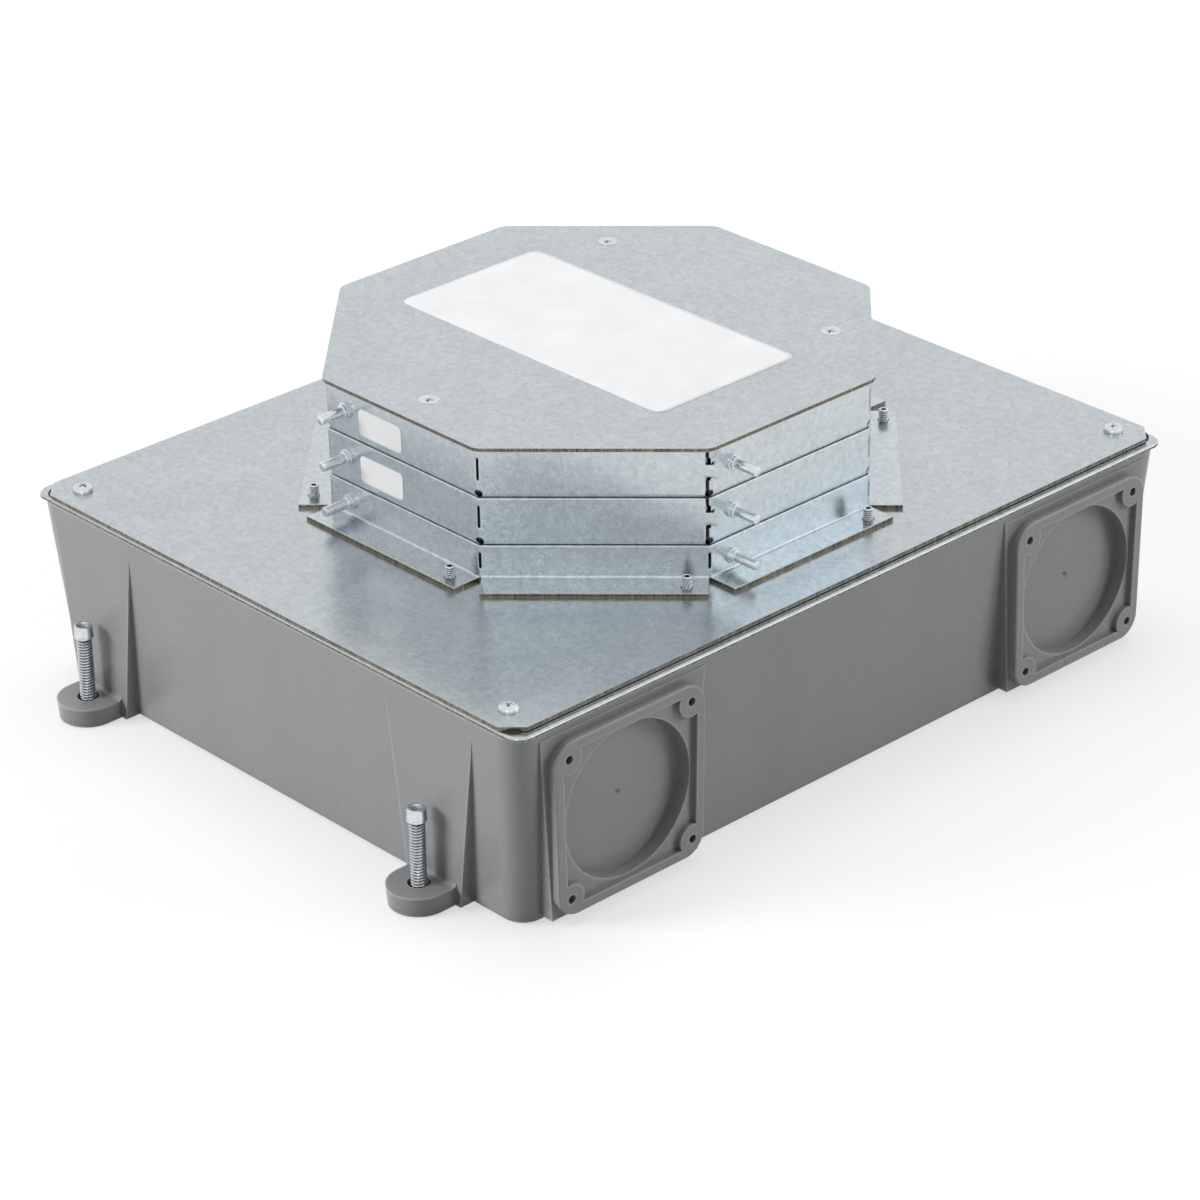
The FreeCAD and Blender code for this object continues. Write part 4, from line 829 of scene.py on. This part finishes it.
class FLOORBOX_OT_lid_screws(bpy.types.Operator):
    """Make the long countersunk screws of the temporary cover"""

    bl_idname = "floorbox.lid_screws"
    bl_label = "Temporary cover screws"

    @staticmethod
    def screw(sizes, low, high):
        """Rings of one screw: long thread, countersunk cone, straight rim and flat top with its recess."""
        theta = turn_angles(60)
        radius = sizes.flat_diameter / 2
        cone_top = high - sizes.flat_rim
        neck = cone_top - sizes.flat_cone
        return np.concatenate([
            thread_rings(theta, sizes.machine_diameter, sizes.machine_pitch, low, neck, steps=5),
            rings(theta, column(radius - sizes.flat_cone, radius, radius),
                  column(neck, cone_top, high - 0.08 * MM)),
            recessed_top(theta, radius - 0.08 * MM, sizes, lambda distance: high + 0 * distance),
        ])

    def execute(self, context):
        sizes = context.scene.floorbox_fasteners
        low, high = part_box("temporary_cover_screws")
        reach = -low.x - sizes.flat_diameter / 2
        plain = self.screw(sizes, low.z, high.z)
        tubes = [turned(moved(turned(plain, 20 + wall), reach, 0), wall) for wall in EAR_WALLS]
        piece = tubes_object("countersunk_screws", tubes)
        seat_fastener(piece, "lid", "temporary_cover_screws")
        return {"FINISHED"}


class FLOORBOX_OT_adjusting_screws(bpy.types.Operator):
    """Make the socket set screws in the base ring's tabs"""

    bl_idname = "floorbox.adjusting_screws"
    bl_label = "Adjusting screws"

    @staticmethod
    def screw(sizes, low, high):
        """Rings of one set screw: thread, chamfered top and hexagonal socket with a conical end."""
        theta = turn_angles(48)
        radius = sizes.machine_diameter / 2
        socket = hexagon_radius(theta, sizes.socket_flats)
        floor = high - sizes.socket_depth
        return np.concatenate([
            rings(theta, column(radius - 0.8 * MM), low),
            thread_rings(theta, sizes.machine_diameter, sizes.machine_pitch, low + 0.2 * MM, high - 0.3 * MM),
            rings(theta, column(radius - 0.05 * MM, radius - 0.35 * MM), column(-0.3 * MM, 0) + high),
            # The socket carries painted shade, darkest at its bottom.
            rings(theta, np.concatenate([socket + 0.12 * MM, socket, socket, 0.02 * socket]),
                  column(high, high - 0.12 * MM, floor, floor - 0.4 * MM), column(0, 0.3, 1, 1)),
        ])

    def execute(self, context):
        sizes = context.scene.floorbox_fasteners
        low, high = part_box("adjusting_screws")
        out = high.x - sizes.machine_diameter / 2
        plain = self.screw(sizes, low.z, high.z)
        places = [moved(turned(plain, 3 * wall), out, sizes.set_screw_offset) for wall in ALL_WALLS]
        tubes = [turned(place, wall) for place, wall in zip(places, ALL_WALLS)]
        piece = tubes_object("socket_set_screws", tubes)
        seat_fastener(piece, "box", "adjusting_screws")
        return {"FINISHED"}


class FLOORBOX_OT_ring_studs(bpy.types.Operator):
    """Make the shouldered studs of the three rings"""

    bl_idname = "floorbox.ring_studs"
    bl_label = "Ring studs"

    @staticmethod
    def stud(sizes, wall_inside, wall_outside, tip):
        """Rings of one stud along X: rivet head, shank through the wall, collar, shoulder and pin.

        Each corner of the turned profile has a small round or chamfer, given by its own pair of points.
        """
        theta = turn_angles(40)
        pin = sizes.stud_diameter / 2
        collar = sizes.stud_collar / 2
        shoulder = sizes.stud_ring / 2
        head = sizes.stud_head / 2
        ease = 0.18 * MM
        collar_end = wall_outside + sizes.stud_collar_length
        shoulder_end = collar_end + sizes.stud_ring_length
        start = wall_inside - sizes.stud_head_length
        profile = [
            (0.03 * head, start), (head - ease, start), (head, start + ease), (head, wall_inside),
            (pin, wall_inside), (pin, wall_outside), (collar, wall_outside), (collar, collar_end - 2 * ease),
            (collar - 0.3 * ease, collar_end - 0.6 * ease), (collar - 2 * ease, collar_end),
            (shoulder, collar_end), (shoulder, shoulder_end - 2 * ease),
            (shoulder - 0.3 * ease, shoulder_end - 0.6 * ease), (shoulder - 2 * ease, shoulder_end),
            (pin + ease, shoulder_end), (pin, shoulder_end + ease), (pin, tip - 2 * ease),
            (pin - 0.6 * ease, tip - 0.6 * ease), (pin - 2 * ease, tip), (0.03 * pin, tip),
        ]
        radii, places = np.array(profile).T
        return laid_along_x(rings(theta, radii[:, np.newaxis], places[:, np.newaxis]))

    def execute(self, context):
        sizes = context.scene.floorbox_fasteners
        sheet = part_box("temporary_cover")[1].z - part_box("temporary_cover")[0].z
        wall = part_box("middle_ring")[1].x
        for ring, body in (("base", "riser_base"), ("middle", "riser_middle"), ("top", "riser_top")):
            node = ring + "_ring_studs"
            low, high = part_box(node)
            middle = (low.z + high.z) / 2
            plain = moved(self.stud(sizes, wall - sheet, wall, high.x), 0, -sizes.stud_offset, middle)
            piece = tubes_object("turned_studs_" + ring, [turned(plain, angle) for angle in STUD_WALLS])
            seat_fastener(piece, body, node)
        return {"FINISHED"}


class FLOORBOX_OT_labels(bpy.types.Operator):
    """Lay the blank labels"""

    bl_idname = "floorbox.labels"
    bl_label = "Blank labels"

    def execute(self, context):
        sizes = context.scene.floorbox_labels
        paper = material_named("label_paper")
        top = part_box("temporary_cover")[1].z
        u, v = rounded_sheet(sizes.top_width, sizes.top_length, sizes.top_corner, 40, 72)
        sheet = np.stack((u, v + sizes.top_shift, top + 0 * u), axis=-1)
        piece = sheet_object("temporary_cover_label", sheet, sizes.thickness)
        seat_piece(piece, "lid", paper)
        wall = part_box("middle_ring")[0].x
        for ring in ("middle", "top"):
            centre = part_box(ring + "_ring")[1].z - sizes.wall_drop
            u, v = rounded_sheet(sizes.wall_length, sizes.wall_height, sizes.wall_corner, 32, 20)
            sheet = np.stack((wall + 0 * u, sizes.wall_shift - u, centre + v), axis=-1)
            piece = sheet_object(ring + "_ring_label", sheet, sizes.thickness)
            seat_piece(piece, "riser_" + ring, paper)
        return {"FINISHED"}


class FLOORBOX_OT_stage(bpy.types.Operator):
    """Set the floor, the lamps, the cards, the world and the camera"""

    bl_idname = "floorbox.stage"
    bl_label = "Stage"

    @staticmethod
    def lamp(name, place, target, size, watts):
        """Area lamp at a place, facing the target, that lights the surfaces and isn't seen in mirrors."""
        data = bpy.data.lights.new(name, "AREA")
        data.shape = "RECTANGLE"
        data.size, data.size_y = size
        data.energy = watts
        lamp = bpy.data.objects.new(name, data)
        lamp.location = place
        lamp.rotation_euler = (Vector(target) - Vector(place)).to_track_quat("-Z", "Y").to_euler()
        lamp.visible_glossy = False
        bpy.context.scene.collection.objects.link(lamp)

    @staticmethod
    def camera(stage):
        """Camera from its place, its heading, its tilt down and its roll."""
        heading, tilt, roll = (math.radians(value) for value in CAMERA_ANGLES)
        forward = Vector((
            math.sin(heading) * math.cos(tilt), math.cos(heading) * math.cos(tilt), -math.sin(tilt)
        ))
        right = Vector((math.cos(heading), -math.sin(heading), 0))
        up = right.cross(forward)
        axes = Matrix((
            math.cos(roll) * right + math.sin(roll) * up,
            math.cos(roll) * up - math.sin(roll) * right,
            -forward,
        )).transposed()
        data = bpy.data.cameras.new("camera")
        data.sensor_width = SENSOR_WIDTH
        data.lens = stage.focal
        data.shift_x = stage.shift_x
        data.shift_y = stage.shift_y
        camera = bpy.data.objects.new("camera", data)
        camera.matrix_world = Matrix.Translation(CAMERA_PLACE) @ axes.to_4x4()
        bpy.context.scene.collection.objects.link(camera)
        bpy.context.scene.camera = camera

    @staticmethod
    def card(name, heading, tilt, distance, size, level):
        """Flat card that faces the middle and that only shiny surfaces show, at a level where 1 is white.

        Its middle lies the distance away, at a heading counter-clockwise from +X and a tilt above level.
        """
        heading, tilt = math.radians(heading), math.radians(tilt)
        away = np.array((
            math.cos(heading) * math.cos(tilt), math.sin(heading) * math.cos(tilt), math.sin(tilt)
        ))
        across = np.array((-math.sin(heading), math.cos(heading), 0.0))
        up = np.cross(away, across)
        u, v = np.meshgrid((-size[0] / 2, size[0] / 2), (-size[1] / 2, size[1] / 2))
        points = distance * away + u[..., np.newaxis] * across + v[..., np.newaxis] * up
        card = mesh_object(name, points.reshape(-1, 3), [(0, 1, 3, 2)])
        material, tree, shader = shader_tree(name)
        feed(tree, shader, {
            "Base Color": BLACK,
            "Specular IOR Level": 0.0,
            "Emission Color": CARD_WHITE,
            "Emission Strength": level,
        })
        card.data.materials.append(material)
        card.visible_camera = False
        card.visible_diffuse = False
        card.visible_shadow = False

    @staticmethod
    def floor(stage):
        """Square floor just under the box."""
        half = stage.floor_size / 2
        below = -0.3 * MM
        signs = ((-1, -1), (1, -1), (1, 1), (-1, 1))
        corners = np.array([(x * half, y * half, below) for x, y in signs])
        floor = mesh_object("floor", corners, [(0, 1, 2, 3)])
        floor.data.materials.append(floor_material(stage))

    @staticmethod
    def world(stage):
        """White for the eye and for mirrors, a plain level of light for everything else."""
        world = bpy.data.worlds.new("studio")
        world.use_nodes = True
        tree = world.node_tree
        strength = ranged(tree, seen_directly(tree), stage.ambient, 1.0)
        feed(tree, tree.nodes["Background"], {"Color": WHITE, "Strength": strength})
        bpy.context.scene.world = world

    def execute(self, context):
        stage = context.scene.floorbox_stage
        self.floor(stage)
        self.world(stage)
        for name, (place, target, size) in LAMPS.items():
            self.lamp(name + "_lamp", place, target, size, getattr(stage, name))
        for name, (heading, tilt, distance, size) in CARDS.items():
            self.card(name, heading, tilt, distance, size, getattr(stage, name))
        self.camera(stage)
        context.scene.view_settings.view_transform = "Standard"
        return {"FINISHED"}


class FLOORBOX_PT_sidebar(bpy.types.Panel):
    """Sidebar list of the operators"""

    bl_label = "Floor socket box"
    bl_space_type = "VIEW_3D"
    bl_region_type = "UI"
    bl_category = "Floor Box"

    def draw(self, context):
        for operator in OPERATORS:
            self.layout.operator(operator.bl_idname)


# ---- add-on ------------------------------------------------------------------------------------
SETTINGS = {
    "floorbox_colours": FLOORBOX_PG_colours,
    "floorbox_fasteners": FLOORBOX_PG_fasteners,
    "floorbox_labels": FLOORBOX_PG_labels,
    "floorbox_stage": FLOORBOX_PG_stage,
}
OPERATORS = (
    FLOORBOX_OT_finishes,
    FLOORBOX_OT_moulded_box,
    FLOORBOX_OT_sheet_steel,
    FLOORBOX_OT_seals_and_inserts,
    FLOORBOX_OT_levelling_screws,
    FLOORBOX_OT_cover_screws,
    FLOORBOX_OT_lid_screws,
    FLOORBOX_OT_adjusting_screws,
    FLOORBOX_OT_ring_studs,
    FLOORBOX_OT_labels,
    FLOORBOX_OT_stage,
)


def register():
    """Registers the settings, the operators and the panel."""
    for name, group in SETTINGS.items():
        bpy.utils.register_class(group)
        setattr(bpy.types.Scene, name, bpy.props.PointerProperty(type=group))
    for operator in OPERATORS:
        bpy.utils.register_class(operator)
    bpy.utils.register_class(FLOORBOX_PT_sidebar)


def unregister():
    """Removes what register() added."""
    bpy.utils.unregister_class(FLOORBOX_PT_sidebar)
    for operator in reversed(OPERATORS):
        bpy.utils.unregister_class(operator)
    for name, group in SETTINGS.items():
        delattr(bpy.types.Scene, name)
        bpy.utils.unregister_class(group)


def main():
    """Makes every piece and the stage."""
    register()
    for operator in OPERATORS:
        group, name = operator.bl_idname.split(".")
        getattr(getattr(bpy.ops, group), name)()


if __name__ == "__main__":
    main()
